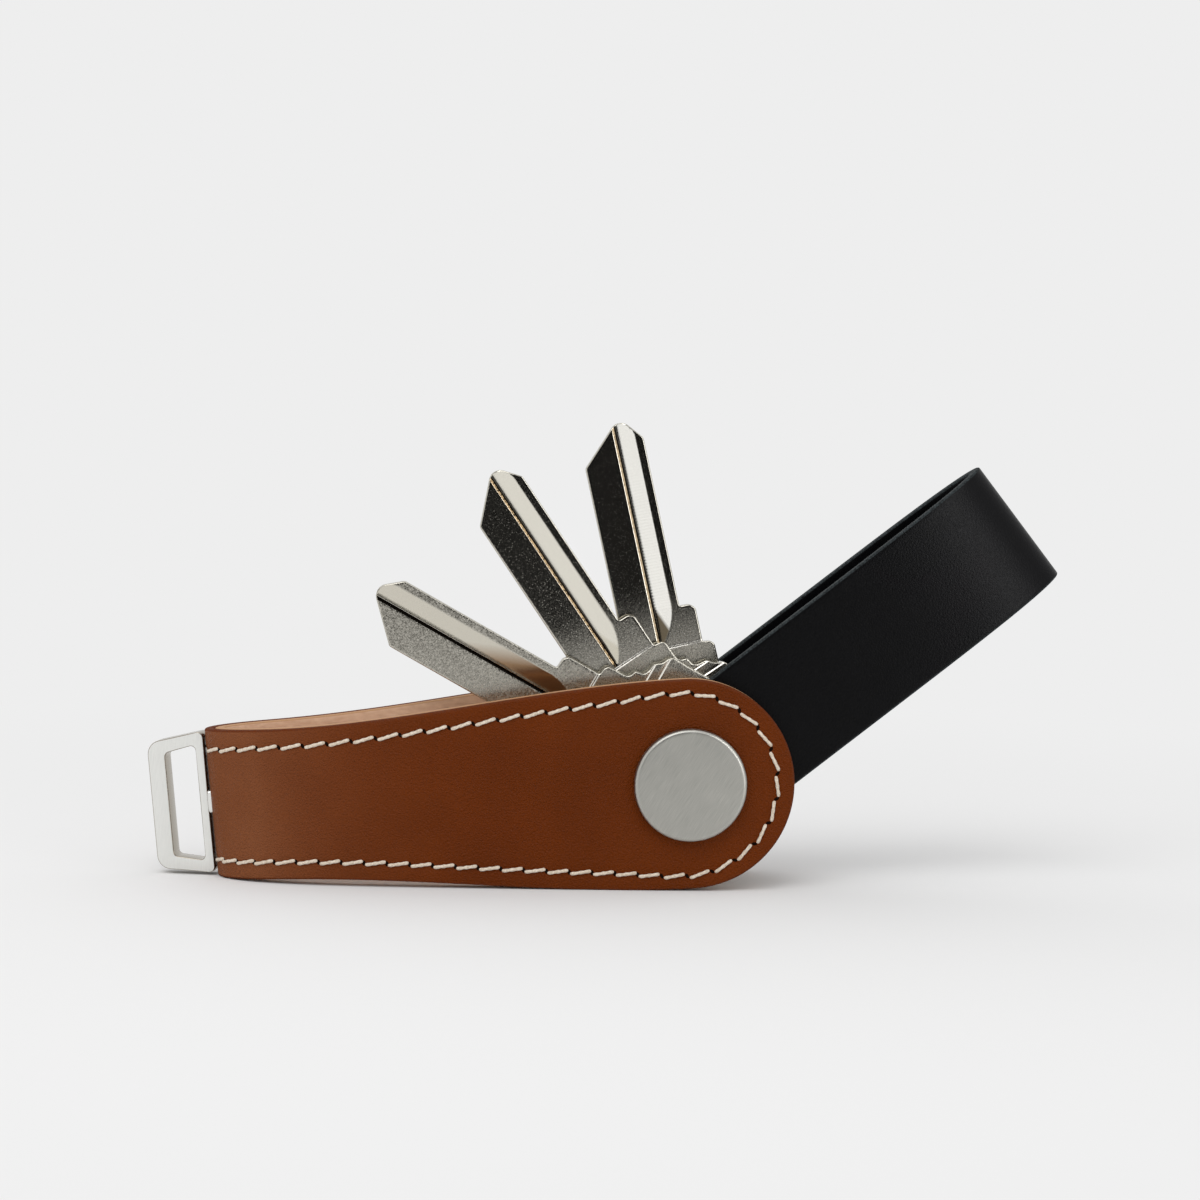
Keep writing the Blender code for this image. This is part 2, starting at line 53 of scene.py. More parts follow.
# %% [markdown]
# Everything turns on one screw, so the middle of that screw is the natural origin.
# The case does not lie level: it touches the ground with its round lobe and with the lower edge of its fold.
# The tilt is found as a carpenter would find it, by laying a straight edge under the two.

# %% Sizes of the case and its resting tilt
millimetre = 0.001
lobe_radius = 14.15
fold_half_height = 10.1
case_length = 64.7
waist_length = 56.5
case_half_depth = 8.95
case_bend_start = 15.0
case_bend_power = 4.6

pivot = np.array(joints["loop_swing"]["pos_m"])


def smooth(value):
    """3 t ** 2 - 2 t ** 3, with t the value held between 0 and 1."""
    t = np.clip(value, 0, 1)
    return t * t * (3 - 2 * t)


def half_height(run, lobe, end, waist):
    """Half the height of a panel: end + (lobe - end) * smooth(1 - run / waist), so it narrows in an S."""
    return end + (lobe - end) * smooth(1 - run / waist)


runs = np.linspace(0, 0.95 * case_length, 400)
drops = half_height(runs, lobe_radius, fold_half_height, waist_length) - fold_half_height
tilt = float(np.arctan2(drops, case_length - runs).max())
print("tilt of the case, degrees:", round(math.degrees(tilt), 2))


def to_world(points, angle):
    """Turns points in millimetres round the pivot, anticlockwise seen from the front, and gives metres."""
    x, y, z = np.moveaxis(np.asarray(points, float), -1, 0)
    cosine, sine = math.cos(angle), math.sin(angle)
    return pivot + np.stack((x * cosine - z * sine, y, x * sine + z * cosine), -1) * millimetre


# %% [markdown]
# A surface here is a grid of points: one function gives all of them at once, as a numpy array.
# Neighbouring points become quads, and points that fall on each other, as at a pole, are merged.
# Values such as "this is a cut edge" travel with the points as attributes, for the materials to read.

# %% Turn a grid of points into a mesh
weld_distance = 1e-6


def grid_faces(rows, columns, first=0):
    """Quads between neighbouring rows; the last column meets the first, so each row is a closed loop."""
    row, column = np.meshgrid(np.arange(rows - 1), np.arange(columns), indexing="ij")
    beside = (column + 1) % columns
    corners = (row * columns + column, row * columns + beside,
               (row + 1) * columns + beside, (row + 1) * columns + column)
    return first + np.stack(corners, -1).reshape(-1, 4)


def make_piece(name, grids, attributes=None, sharp_angle=40):
    """One object from grids of shape (rows, loop, 3) in metres, with values for each of their points."""
    points = np.concatenate([grid.reshape(-1, 3) for grid in grids])
    starts = np.cumsum([0] + [grid.shape[0] * grid.shape[1] for grid in grids])
    faces = np.concatenate([grid_faces(*grid.shape[:2], start) for grid, start in zip(grids, starts)])
    mesh = bpy.data.meshes.new(name)
    mesh.from_pydata(points.tolist(), [], faces.tolist())
    for label, values in (attributes or {}).items():
        layer = mesh.attributes.new(label, "FLOAT", "POINT")
        layer.data.foreach_set("value", np.asarray(values, np.float32).ravel())
    shape = bmesh.new()
    shape.from_mesh(mesh)
    bmesh.ops.remove_doubles(shape, verts=shape.verts, dist=weld_distance)
    bmesh.ops.dissolve_degenerate(shape, edges=shape.edges, dist=weld_distance)
    bmesh.ops.recalc_face_normals(shape, faces=shape.faces)
    open_edges = sum(not edge.is_manifold for edge in shape.edges)
    shape.to_mesh(mesh)
    shape.free()
    mesh.shade_smooth()
    mesh.set_sharp_from_angle(angle=math.radians(sharp_angle))
    piece = bpy.data.objects.new(name, mesh)
    bpy.context.scene.collection.objects.link(piece)
    print(name, len(mesh.polygons), "faces,", open_edges, "open edges")
    return piece


def finish_piece(piece, material, body, slot, *nodes):
    """Gives a piece its material and its place in the frame."""
    piece.data.materials.append(material)
    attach(piece, body)
    if nodes:
        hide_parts(*nodes)


def dress_node(name, material):
    """Gives a solid of the frame its material, where its own shape is plain enough to stay."""
    node = frame["nodes"][name]
    node.data.materials.clear()
    node.data.materials.append(material)


# %% [markdown]
# A few steps come back in every shape: angles round a circle, a rounded edge, directions and lengths.

# %% Small helpers for shapes
def full_turn(steps):
    """Even angles round a circle, without the last one, which would be the first again."""
    return np.linspace(0, 2 * np.pi, steps, endpoint=False)


def quarter_round(radius, steps):
    """A rounded edge from face to wall: how far it reaches out, and how far it has sunk."""
    swing = np.linspace(0, np.pi / 2, steps)
    return radius * np.sin(swing), radius * (1 - np.cos(swing))


def unit(vectors):
    """The same directions at length one: v / |v|."""
    return vectors / np.linalg.norm(vectors, axis=1)[:, None]


def left_of(vectors):
    """Each flat vector turned a quarter to the left: (x, y) becomes (-y, x)."""
    return np.stack((-vectors[:, 1], vectors[:, 0]), -1)


def lengths_along(line):
    """How far along a line of points each of them lies."""
    return np.concatenate(([0], np.cumsum(np.linalg.norm(np.diff(line, axis=0), axis=1))))


# %% [markdown]
# A hole through a finished surface is simplest as a Boolean cut.
# The cut is applied at once, so no helper object is left in the scene.

# %% Round stock and cuts
carved_sharp_angle = math.radians(35)
barrel_radius = 2.5
barrel_hole_radius = 2.7
through_all = 12.0
hole_steps = 64


def turned(profile, steps):
    """A profile of (radius, y) carried round the pivot's axis: x = radius * cos, z = radius * sin."""
    radius, y = np.array(profile, float).T[..., None]
    around = full_turn(steps)
    return to_world(np.stack(np.broadcast_arrays(radius * np.cos(around), y, radius * np.sin(around)), -1), 0)


def carve(piece, cutter):
    """Takes the cutter's shape out of the piece, marks the new edges sharp and deletes the cutter."""
    step = piece.modifiers.new("cut", "BOOLEAN")
    step.operation = "DIFFERENCE"
    step.solver = "EXACT"
    step.object = cutter
    bpy.context.view_layer.update()
    graph = bpy.context.evaluated_depsgraph_get()
    mesh = bpy.data.meshes.new_from_object(piece.evaluated_get(graph))
    mesh.set_sharp_from_angle(angle=carved_sharp_angle)
    piece.modifiers.clear()
    piece.data = mesh
    bpy.data.objects.remove(cutter)


def carve_pivot_hole(piece):
    """The round hole that the barrel passes through."""
    profile = ((0, -through_all), (barrel_hole_radius, -through_all), (barrel_hole_radius, through_all),
               (0, through_all))
    carve(piece, make_piece("pivot_cutter", [turned(profile, hole_steps)]))


# %% [markdown]
# Materials are node trees. One function turns a hex colour from a paint chart into the linear numbers that
# a shader wants, one turns a size in millimetres into a texture's scale, and one adds a node and wires it.
# Patterns read Object coordinates, which are metres here, so a grain is as fine as real grain.

# %% Helpers for materials
def colour(hex_value):
    """The linear RGBA of an sRGB hex colour, by the usual curve: ((c + 0.055) / 1.055) ** 2.4."""
    parts = np.array([int(hex_value[start:start + 2], 16) for start in (0, 2, 4)]) / 255
    linear = np.where(parts <= 0.04045, parts / 12.92, ((parts + 0.055) / 1.055) ** 2.4)
    return (*linear.tolist(), 1.0)


def per(size):
    """The texture scale whose pattern repeats about once in that many millimetres."""
    return 1 / (size * millimetre)


def plug(tree, socket, value):
    """Gives an input a number or a hex colour, or links another node's output to it."""
    if isinstance(value, bpy.types.NodeSocket):
        tree.links.new(value, socket)
    else:
        socket.default_value = colour(value) if isinstance(value, str) else value


def add(tree, kind, inputs=None, **settings):
    """Adds a node with its settings and plugs its inputs."""
    node = tree.nodes.new(kind)
    for key, value in settings.items():
        setattr(node, key, value)
    for key, value in (inputs or {}).items():
        plug(tree, node.inputs[key], value)
    return node


def new_material(name, roughness, metallic=0.0, **settings):
    """A Principled material, its tree and its Object coordinates."""
    material = bpy.data.materials.new(name)
    material.use_nodes = True
    tree = material.node_tree
    for key, value in {"Roughness": roughness, "Metallic": metallic, **settings}.items():
        plug(tree, tree.nodes["Principled BSDF"].inputs[key.replace("_", " ")], value)
    return material, tree, add(tree, "ShaderNodeTexCoord").outputs["Object"]


def noise(tree, where, scale, detail):
    """A cloudy value round one half."""
    inputs = {"Vector": where, "Scale": scale, "Detail": detail}
    return add(tree, "ShaderNodeTexNoise", inputs).outputs["Fac"]


def cells(tree, where, scale):
    """How far a place is from the middle of its cell, for pores and specks."""
    return add(tree, "ShaderNodeTexVoronoi", {"Vector": where, "Scale": scale}).outputs["Distance"]


def attribute(tree, name):
    """A value that travels with the mesh's points."""
    return add(tree, "ShaderNodeAttribute", attribute_name=name).outputs["Fac"]


def maths(tree, operation, *values):
    """One step of arithmetic."""
    return add(tree, "ShaderNodeMath", dict(enumerate(values)), operation=operation).outputs[0]


def between(tree, factor, first, second):
    """The value between first and second, by a factor from 0 to 1."""
    return add(tree, "ShaderNodeMix", {"Factor": factor, "A": first, "B": second}).outputs["Result"]


def blend_colours(tree, factor, first, second):
    """The colour between first and second, by a factor from 0 to 1."""
    return add(tree, "ShaderNodeMix", {"Factor": factor, 6: first, 7: second}, data_type="RGBA").outputs[2]


def spread(tree, value, low, high, out_low=0.0, out_high=1.0, course="LINEAR"):
    """Maps a value from low..high to out_low..out_high, held at its ends."""
    inputs = {"Value": value, "From Min": low, "From Max": high, "To Min": out_low, "To Max": out_high}
    return add(tree, "ShaderNodeMapRange", inputs, interpolation_type=course).outputs["Result"]


def wire(material, base, rough=None, height=None, strength=1.0, depth=0.0):
    """Gives a material its colour, its roughness and a relief of that many millimetres."""
    tree = material.node_tree
    shader = tree.nodes["Principled BSDF"]
    plug(tree, shader.inputs["Base Color"], base)
    if rough is not None:
        plug(tree, shader.inputs["Roughness"], rough)
    if height is not None:
        inputs = {"Height": height, "Strength": strength, "Distance": depth * millimetre}
        plug(tree, shader.inputs["Normal"], add(tree, "ShaderNodeBump", inputs).outputs["Normal"])
    return material


# %% [markdown]
# The case is vegetable-tanned leather, dyed tan on its grain side and left smooth.
# Such leather shows fine pores and creases under half a millimetre, cloudy dye, and a soft waxy sheen.
# The fold is painted paler, a painted sheen where the leather turns round it: the bent attribute says how
# much.
# Its cut edges take the dye less evenly and turn out duller and paler, which the edge attribute tells apart.

# %% Leather for the case
pore_size = 0.24
cloud_size = 12.0
crease_size = 0.28
edge_roughness = 0.7


def leather(name, deep, light, bent, edge, roughness, bump, shine, grain_depth):
    """Grain leather: cloudy dye, pores and shallow creases, a painted sheen that makes the bends paler, and a
    matt fibrous cut edge.
    """
    material, tree, where = new_material(name, roughness, Specular_IOR_Level=shine)
    clouds = noise(tree, where, per(cloud_size), 5.0)
    pores = cells(tree, where, per(pore_size))
    creases = noise(tree, where, per(crease_size), 8.0)
    on_edge = attribute(tree, "edge")
    dye = blend_colours(tree, spread(tree, clouds, 0.2, 0.8), deep, light)
    pored = blend_colours(tree, spread(tree, pores, 0.0, 0.35, 0.16, 0.0), dye, deep)
    # Painted sheen: the bend's paler colour is mixed in where the strip turns, unevenly by the clouds.
    moved = maths(tree, "MULTIPLY", attribute(tree, "bent"), spread(tree, clouds, 0.3, 0.7, 0.8, 1.1))
    face = blend_colours(tree, moved, pored, bent)
    fibres = blend_colours(tree, spread(tree, creases, 0.3, 0.7), edge, light)
    rough = spread(tree, creases, 0.3, 0.7, roughness - 0.06, roughness + 0.08)
    edge_rough = between(tree, on_edge, rough, edge_roughness)
    relief = maths(tree, "ADD", creases, pores)
    return wire(material, blend_colours(tree, on_edge, face, fibres), edge_rough, relief, bump, grain_depth)


# The third colour, 7e4a2c, is the painted sheen of the fold.
tan_leather = leather("vegetable_tanned_tan_leather", "5b2501", "6b2e03", "7e4a2c", "5e3321",
                      roughness=0.38, bump=1.0, shine=0.07, grain_depth=0.13)
print("material:", tan_leather.name)

# %% [markdown]
# The case is one strip of leather with a round lobe at each end, bent double.
# It is easiest drawn flat, as it is cut, with s along the strip and z across it, and bent afterwards:
# a curve seen from above says where each s goes, and which way the leather faces there.

# %% A strip of leather bent in a U
curve_steps = 260
lobe_columns = 30
column_spacing = 0.55


class Strap:
    """A strip bent double: the map from its flat pattern to space.

    Seen from above the outer face runs straight, then depth = half_depth * sqrt(1 - t ** power) as t goes
    from 0 at bend_start to 1 at the fold. The lobes are half circles, and between them the strip narrows.
    The fold leans by an angle, because hands fold leather a little askew.
    """

    def __init__(self, lobe, end, waist, length, half_depth, bend_start, power, toward, angle, lean=0.0):
        self.lobe, self.end, self.waist, self.toward, self.angle = lobe, end, waist, toward, angle
        self.length, self.bend_start, self.lean = length, bend_start, lean
        turn = np.linspace(0, np.pi / 2, curve_steps)
        run = bend_start + (length - bend_start) * np.sin(turn) ** (2 / power)
        depth = half_depth * np.cos(turn)
        self.run = np.concatenate(([-lobe], run, run[-2::-1], [-lobe]))
        self.depth = np.concatenate(([-half_depth], -depth, depth[-2::-1], [half_depth]))
        self.arc = lengths_along(np.stack((self.run, self.depth), -1))
        self.total = self.arc[-1]
        along, aside = np.gradient(self.run, self.arc), np.gradient(self.depth, self.arc)
        self.facing = np.arctan2(-along, aside)

    def height(self, s):
        """Half the height of the strip at s, outside the lobes."""
        return half_height(np.maximum(np.interp(s, self.arc, self.run), 0), self.lobe, self.end, self.waist)

    def outline(self, inset):
        """The upper edge of the flat pattern, moved inwards by inset, with its outward normals."""
        rise, s = quarter_round(self.lobe, lobe_columns)
        middle = np.arange(self.lobe + column_spacing, self.total - self.lobe, column_spacing)
        edge = np.stack((np.concatenate((s, middle, self.total - s[::-1])),
                         np.concatenate((rise, self.height(middle), rise[::-1]))), -1)
        normal = left_of(unit(np.gradient(edge, axis=0)))
        normal[0], normal[-1] = (-1, 0), (1, 0)
        return edge - inset * normal, normal

    def to_space(self, s, z, lift):
        """The place of a flat point (s, z) that stands lift above the outer face."""
        facing = np.interp(s, self.arc, self.facing)
        run = np.interp(s, self.arc, self.run)
        bent = smooth((run - self.bend_start) / (self.length - self.bend_start))
        run = run + lift * np.cos(facing) + z * bent * math.tan(self.lean)
        depth = np.interp(s, self.arc, self.depth) + lift * np.sin(facing)
        return to_world(np.stack((self.toward * run, depth, np.broadcast_to(z, run.shape)), -1), self.angle)

    def margin(self, s, z):
        """How far a flat point is from the nearest cut edge."""
        from_end = np.minimum(s, self.total - s)
        in_lobe = self.lobe - np.hypot(self.lobe - from_end, z)
        on_panel = self.height(s) - np.abs(z)
        return np.where(from_end < self.lobe, in_lobe, on_panel)


# %% [markdown]
# The layer itself is a closed loop carried along the strip: across the outer face, round the upper edge,
# back across the inner face and round the lower edge. At the tips of the lobes the loop closes to a line.
# The needle pulls the leather down a little along the seam, so the outer face dips there.

# %% One layer of a strap as a solid
corner_steps = 5
bend_to_full_sheen = math.radians(20)


def make_layer(name, strap, outside, thickness, corner, face_columns, dip=None):
    """The layer between outside and outside + thickness under the outer face, with the barrel's hole."""
    reach, sink = quarter_round(corner, corner_steps)
    reach = np.concatenate((reach, reach[::-1]))
    sink = np.concatenate((sink, thickness - sink[::-1]))
    base, normal = strap.outline(corner)
    face_s = np.repeat(base[:, :1], face_columns, axis=1)
    face_z = base[:, 1:] * np.linspace(-1, 1, face_columns)
    edge_s = base[:, :1] + normal[:, :1] * reach[1:-1]
    edge_z = base[:, 1:] + normal[:, 1:] * reach[1:-1]
    s = np.concatenate((face_s, edge_s, face_s, edge_s), axis=1)
    z = np.concatenate((face_z, edge_z, face_z[:, ::-1], -edge_z[:, ::-1]), axis=1)
    low = np.broadcast_to(sink[1:-1], edge_s.shape)
    flat = np.zeros_like(face_s)
    lift = np.concatenate((flat, -low, flat - thickness, -low[:, ::-1]), axis=1)
    if dip is not None:
        lift[:, :face_columns] -= dip(face_s, face_z)
    edge = np.zeros_like(lift)
    edge[:, face_columns:face_columns + low.shape[1]] = 1
    edge[:, -low.shape[1]:] = 1
    # How far the strip has turned, which sets how much painted sheen the fold gets.
    turned_by = np.abs(np.interp(s, strap.arc, strap.facing) + np.sign(strap.total / 2 - s) * np.pi / 2)
    values = {"edge": edge, "bent": np.clip(turned_by / bend_to_full_sheen, 0, 1)}
    piece = make_piece(name, [strap.to_space(s, z, lift - outside)], values)
    carve_pivot_hole(piece)
    return piece


# %% The outer leather of the case
outer_leather = 1.4
outer_corner = 0.3
fold_lean = math.radians(2.1)
seam_distance = 2.35
seam_rise_at_screw = 0.52
screw_from_end = 15.8
screw_rise_reach = 6.5
seam_drop_at_fold = 0.5
fold_drop_reach = 8.0
seam_dip = 0.10
seam_dip_width = 0.55
case_strap = Strap(lobe_radius, fold_half_height, waist_length, case_length, case_half_depth,
                   case_bend_start, case_bend_power, -1, tilt, fold_lean)


def seam_inset(s, z):
    """The seam's distance from the edge: less by the screw, as hands mark it, and more above at the fold."""
    from_end = np.minimum(s, case_strap.total - s)
    from_fold = case_strap.total / 2 - from_end
    by_screw = seam_rise_at_screw * np.exp(-((from_end - screw_from_end) / screw_rise_reach) ** 2)
    by_fold = seam_drop_at_fold * np.exp(-(from_fold / fold_drop_reach) ** 2) * (z > 0)
    return seam_distance - by_screw + by_fold


def seam_hollow(s, z):
    """The dip along the seam: seam_dip * exp(-(distance from the seam / width) ** 2)."""
    return seam_dip * np.exp(-((case_strap.margin(s, z) - seam_inset(s, z)) / seam_dip_width) ** 2)


case_leather = make_layer("case_outer_leather", case_strap, 0.0, outer_leather, outer_corner,
                          face_columns=61, dip=seam_hollow)
finish_piece(case_leather, tan_leather, "case", "tan_leather", "case_leather")

# %% [markdown]
# The lining is the same leather left undyed and glued to the back of the case.
# Its open side is suede-like flesh, so it is matt, pale and slightly fibrous, with hardly any shine.

# %% The lining
lining_leather = 1.3
lining_corner = 0.2
glue_line = 0.05
fibre_size = 0.5
fibre_stretch = 0.35


def undyed_leather(name, deep, light, edge, roughness):
    """Natural leather with fibres that run mostly along the strip, darker clouds and a burnished cut edge."""
    material, tree, where = new_material(name, roughness)
    stretch = add(tree, "ShaderNodeMapping", {"Vector": where, "Scale": (fibre_stretch, 1.0, 1.0)})
    fibres = noise(tree, stretch.outputs[0], per(fibre_size), 8.0)
    clouds = noise(tree, where, per(cloud_size), 3.0)
    face = blend_colours(tree, spread(tree, between(tree, 0.5, fibres, clouds), 0.35, 0.65), deep, light)
    return wire(material, blend_colours(tree, attribute(tree, "edge"), face, edge), None, fibres, 0.6, 0.08)


natural_leather = undyed_leather("undyed_lining_leather", "d2aa8c", "efcdaf", "b58a64", 0.8)
case_lining = make_layer("case_lining_leather", case_strap, outer_leather + glue_line, lining_leather,
                         lining_corner, face_columns=31)
finish_piece(case_lining, natural_leather, "case", "natural_leather", "case_lining")

# %% [markdown]
# The seam is sewn with one waxed thread. Each stitch is a short slanted length that dives into a slit at both
# ends, so it is made as its own little tube: an oval section carried along an arch, with its ends sunk.
# Two plies twist round each other, which the section shows as a waist that turns along the stitch.

# %% Where the stitches go
panels = ((-1, "front"), (1, "rear"))
stitch_marks = ((0, 1.5), (1, 3.94), (3, 9.49), (20, 61.83), (34, 109.62), (50, 161.84), (53, 170.85))
seam_length = 173.3
stitch_reach = 1.56
stitch_slant = math.radians(-10.3)
heading_step = 0.2


def seam_centres(side):
    """Centres and directions of one panel's stitches on the flat pattern.

    The marks say how far along the seam some stitches lie, from the fold round the lobe and back, and between
    two marks the stitches are even, because the awl's wheel was set down afresh at each.
    """
    edge, normal = case_strap.outline(0.0)
    half = edge[:, 0] < case_strap.total / 2
    edge, normal = edge[half], normal[half]
    above = edge - seam_inset(edge[:, 0], 1.0)[:, None] * normal
    below = (edge - seam_inset(edge[:, 0], -1.0)[:, None] * normal) * (1, -1)
    line = np.concatenate((below[::-1], above[1:]))
    lengths = lengths_along(line)
    index, distance = np.array(stitch_marks).T
    at = np.interp(np.arange(index[-1] + 1), index, distance) * lengths[-1] / seam_length
    centre, ahead = (np.stack([np.interp(place, lengths, line[:, axis]) for axis in (0, 1)], -1)
                     for place in (at, at + heading_step))
    ahead = ahead - centre
    if side > 0:
        centre[:, 0] = case_strap.total - centre[:, 0]
        ahead[:, 0] *= -1
    heading = np.arctan2(ahead[:, 1], ahead[:, 0]) + stitch_slant
    return centre, np.stack((np.cos(heading), np.sin(heading)), -1)


def place_on_case(middle, ahead, along, across, lift):
    """Small shapes on the case: middle + ahead * along + aside * across on the flat pattern, then bent."""
    flat = (middle[:, None, None] + ahead[:, None, None] * along[..., None]
            + left_of(ahead)[:, None, None] * across[..., None])
    return list(case_strap.to_space(flat[..., 0], flat[..., 1], np.broadcast_to(lift, flat.shape[:-1])))


# %% The thread
thread_half_width = 0.225
thread_half_height = 0.18
thread_arch = 0.16
thread_dive = 0.55
thread_steps = 13
thread_sides = 10
ply_turns = 1.6
ply_depth = 0.16
thread_fibre = 0.25


def stitches(side):
    """A panel's stitches: an oval section along t from -1 to 1, arch * (1 - t ** 4) - dive * t ** 16 high."""
    t = np.sin(np.linspace(-np.pi / 2, np.pi / 2, thread_steps))[:, None]
    around = full_turn(thread_sides)
    section = 1 + ply_depth * np.cos(2 * (around - ply_turns * np.pi * t))
    section = section * np.sqrt(np.clip(1 - t ** 14, 0, 1))
    rise = thread_arch * (1 - t ** 4) - thread_dive * t ** 16 + thread_half_height * section * np.sin(around)
    return place_on_case(*seam_centres(side), stitch_reach * t, thread_half_width * section * np.cos(around),
                         rise - seam_dip)


def waxed_thread(name, deep, light):
    """Cream linen thread: pale plies with darker valleys between them."""
    material, tree, where = new_material(name, 0.62)
    fibres = spread(tree, noise(tree, where, per(thread_fibre), 4.0), 0.35, 0.65)
    return wire(material, blend_colours(tree, fibres, deep, light))


cream_thread = waxed_thread("waxed_cream_linen_thread", "c6b6a1", "e4d8c8")
for side, panel in panels:
    thread = make_piece(f"seam_thread_{panel}", stitches(side), sharp_angle=180)
    finish_piece(thread, cream_thread, "case", "cream_thread", f"seam_{panel}")

# %% [markdown]
# Between two stitches the awl left a slit. Its mouth is in shadow and its rim is darkened by the punch, so
# from arm's length each slit is a small dark lens, drawn flat on the leather as painted shade between the end
# of one stitch and the start of the next.

# %% The slits
slit_half_length = 0.42
slit_half_width = 0.22
slit_lift = 0.02
slit_sides = 12
slit_rings = ((0.0, 1.0), (0.8, 1.0), (1.0, 0.0), (0.8, -1.0), (0.0, -1.0))


def slits(side):
    """Flat lenses on the leather, each from the end of a stitch to the start of its neighbour."""
    centre, ahead = seam_centres(side)
    start, end = (centre + ahead * stitch_reach)[:-1], (centre - ahead * stitch_reach)[1:]
    around = full_turn(slit_sides)
    size, level = np.array(slit_rings).T[..., None]
    return place_on_case((start + end) / 2, unit(end - start), size * slit_half_length * np.cos(around),
                         size * slit_half_width * np.sin(around), level * slit_lift - seam_dip + slit_lift)


# 120703 is painted shade lying flat on the leather where the slits are.
painted_slit_shade = new_material("shadowed_awl_slit", 0.9, Specular_IOR_Level=0.05, Base_Color="120703")[0]
for side, panel in panels:
    holes = make_piece(f"seam_slits_{panel}", slits(side), sharp_angle=180)
    finish_piece(holes, painted_slit_shade, "case", "tan_leather")

# %% [markdown]
# The loop is a second strip, black and unlined, with its fold on the other side of the screw.
# Its outer face is smooth and slightly waxed, and its cut edges are painted grey as a painted highlight along
# them.

# %% The black loop
loop_rise = math.radians(34.6)
loop_half_width = 9.25
loop_length = 58.0
loop_half_depth = 5.95
loop_bend_start = 10.0
loop_bend_power = 6.3
loop_leather = 1.7
loop_corner = 0.3
# The last colour, 3a4143, is the grey of the cut edges: a painted highlight.
black_leather = leather("black_waxed_leather", "030304", "08080a", "08080a", "3a4143",
                        roughness=0.34, bump=0.4, shine=0.11, grain_depth=0.04)
loop_strap = Strap(loop_half_width, loop_half_width, loop_length, loop_length, loop_half_depth,
                   loop_bend_start, loop_bend_power, 1, loop_rise + tilt)
loop_piece = make_layer("loop_black_leather", loop_strap, 0.0, loop_leather, loop_corner, face_columns=41)
finish_piece(loop_piece, black_leather, "loop", "black_leather", "loop_strap")

# %% [markdown]
# Both caps are turned from stainless steel: a flat face with a small rounded rim that catches the light.
# The face is brushed, which leaves fine straight scratches and a broad soft reflection.
# The front cap carries the screw's shank, plain here, the rear cap the barrel on which everything turns.

# %% The two caps
cap_radius = 7.6
cap_inside = 9.2
cap_face = 10.5
rim_radius = 0.55
screw_radius = 1.5
screw_end = 0.4
barrel_end = -8.6
bore_clearance = 0.15
bore_beyond_screw = 0.25
cap_steps = 128
scratch_length = 2.5
scratch_height = 0.5
scratch_width = 0.06
stain_size = 5.0
cut_roughness = 0.18
# The colour of the cut walls is darker as painted shade.
cut_wall_painted_shade = "a39c90"


def brushed_steel(name, deep, light, roughness, direction, depth):
    """Stainless steel with straight scratches: their pattern is turned to a direction and stretched along it.

    Where the mesh is marked as cut, it is smoother, and its colour is darker: painted shade on the ring's cut
    walls.
    """
    material, tree, where = new_material(name, roughness, 1.0)
    turn = add(tree, "ShaderNodeMapping", {"Vector": where, "Rotation": (0.0, direction, 0.0)})
    stretch = per(scratch_length), per(scratch_height), per(scratch_width)
    lay = add(tree, "ShaderNodeMapping", {"Vector": turn.outputs[0], "Scale": stretch})
    scratches = noise(tree, lay.outputs[0], 1.0, 4.0)
    stains = noise(tree, where, per(stain_size), 3.0)
    cut = attribute(tree, "cut")
    face = blend_colours(tree, spread(tree, scratches, 0.25, 0.75), deep, light)
    rough = spread(tree, between(tree, 0.4, scratches, stains), 0.3, 0.7, roughness - 0.08, roughness + 0.1)
    # Painted shade: the cut walls get the darker colour.
    return wire(material, blend_colours(tree, cut, face, cut_wall_painted_shade), between(tree, cut, rough, cut_roughness),
                scratches, 0.25, depth)


def make_cap(name, side, stock):
    """A cap from the middle of its face over the quarter-round rim, and its stock, all as (radius, y)."""
    reach, sink = quarter_round(rim_radius, 7)
    rim = np.stack((cap_radius - rim_radius + reach, side * (cap_face - sink)), -1)
    flat = np.array(((0, cap_face), (cap_radius * 0.5, cap_face), (cap_radius - 1.3 * rim_radius, cap_face)))
    profile = np.concatenate((flat * (1, side), rim, [(cap_radius, side * cap_inside)], stock))
    return make_piece(name, [turned(profile, cap_steps)], sharp_angle=35)


satin_steel = brushed_steel("brushed_stainless_steel", "a5a49e", "c2c1ba", 0.36, math.radians(58), 0.01)
shank = (screw_radius, -cap_inside), (screw_radius, screw_end), (0, screw_end)
front_screw = make_cap("front_cap_screw", -1, shank)
finish_piece(front_screw, satin_steel, "case", "satin_steel", "front_screw")

bore_radius = screw_radius + bore_clearance
bore_end = screw_end + bore_beyond_screw
barrel = ((barrel_radius, cap_inside), (barrel_radius, barrel_end), (bore_radius, barrel_end),
          (bore_radius, bore_end), (0, bore_end))
barrel_nut = make_cap("rear_cap_barrel", 1, barrel)
slot_half_length = 5.0
slot_half_width = 0.7
slot_depth = 0.7
slot_steps = 48


def slot_cutter():
    """A flat-bottomed slot with round ends, as a stadium outline carried along y."""
    around = full_turn(slot_steps)
    x = slot_half_width * np.cos(around) + (slot_half_length - slot_half_width) * np.sign(np.cos(around))
    z = slot_half_width * np.sin(around)
    size, level = np.array(((0, -1), (1, -1), (1, 1), (0, 1))).T[..., None]
    stadium = np.broadcast_arrays(size * x, cap_face + level * slot_depth, size * z)
    return make_piece("slot_cutter", [to_world(np.stack(stadium, -1), tilt)])


carve(barrel_nut, slot_cutter())
finish_piece(barrel_nut, satin_steel, "case", "satin_steel", "barrel_nut")

# %% [markdown]
# Thin nylon washers keep the leather arms off the turning keys. They are plain and nearly hidden,
# so their shapes from the frame stay, with the faint translucency that moulded nylon has.

# %% Washers
haze_size = 2.0


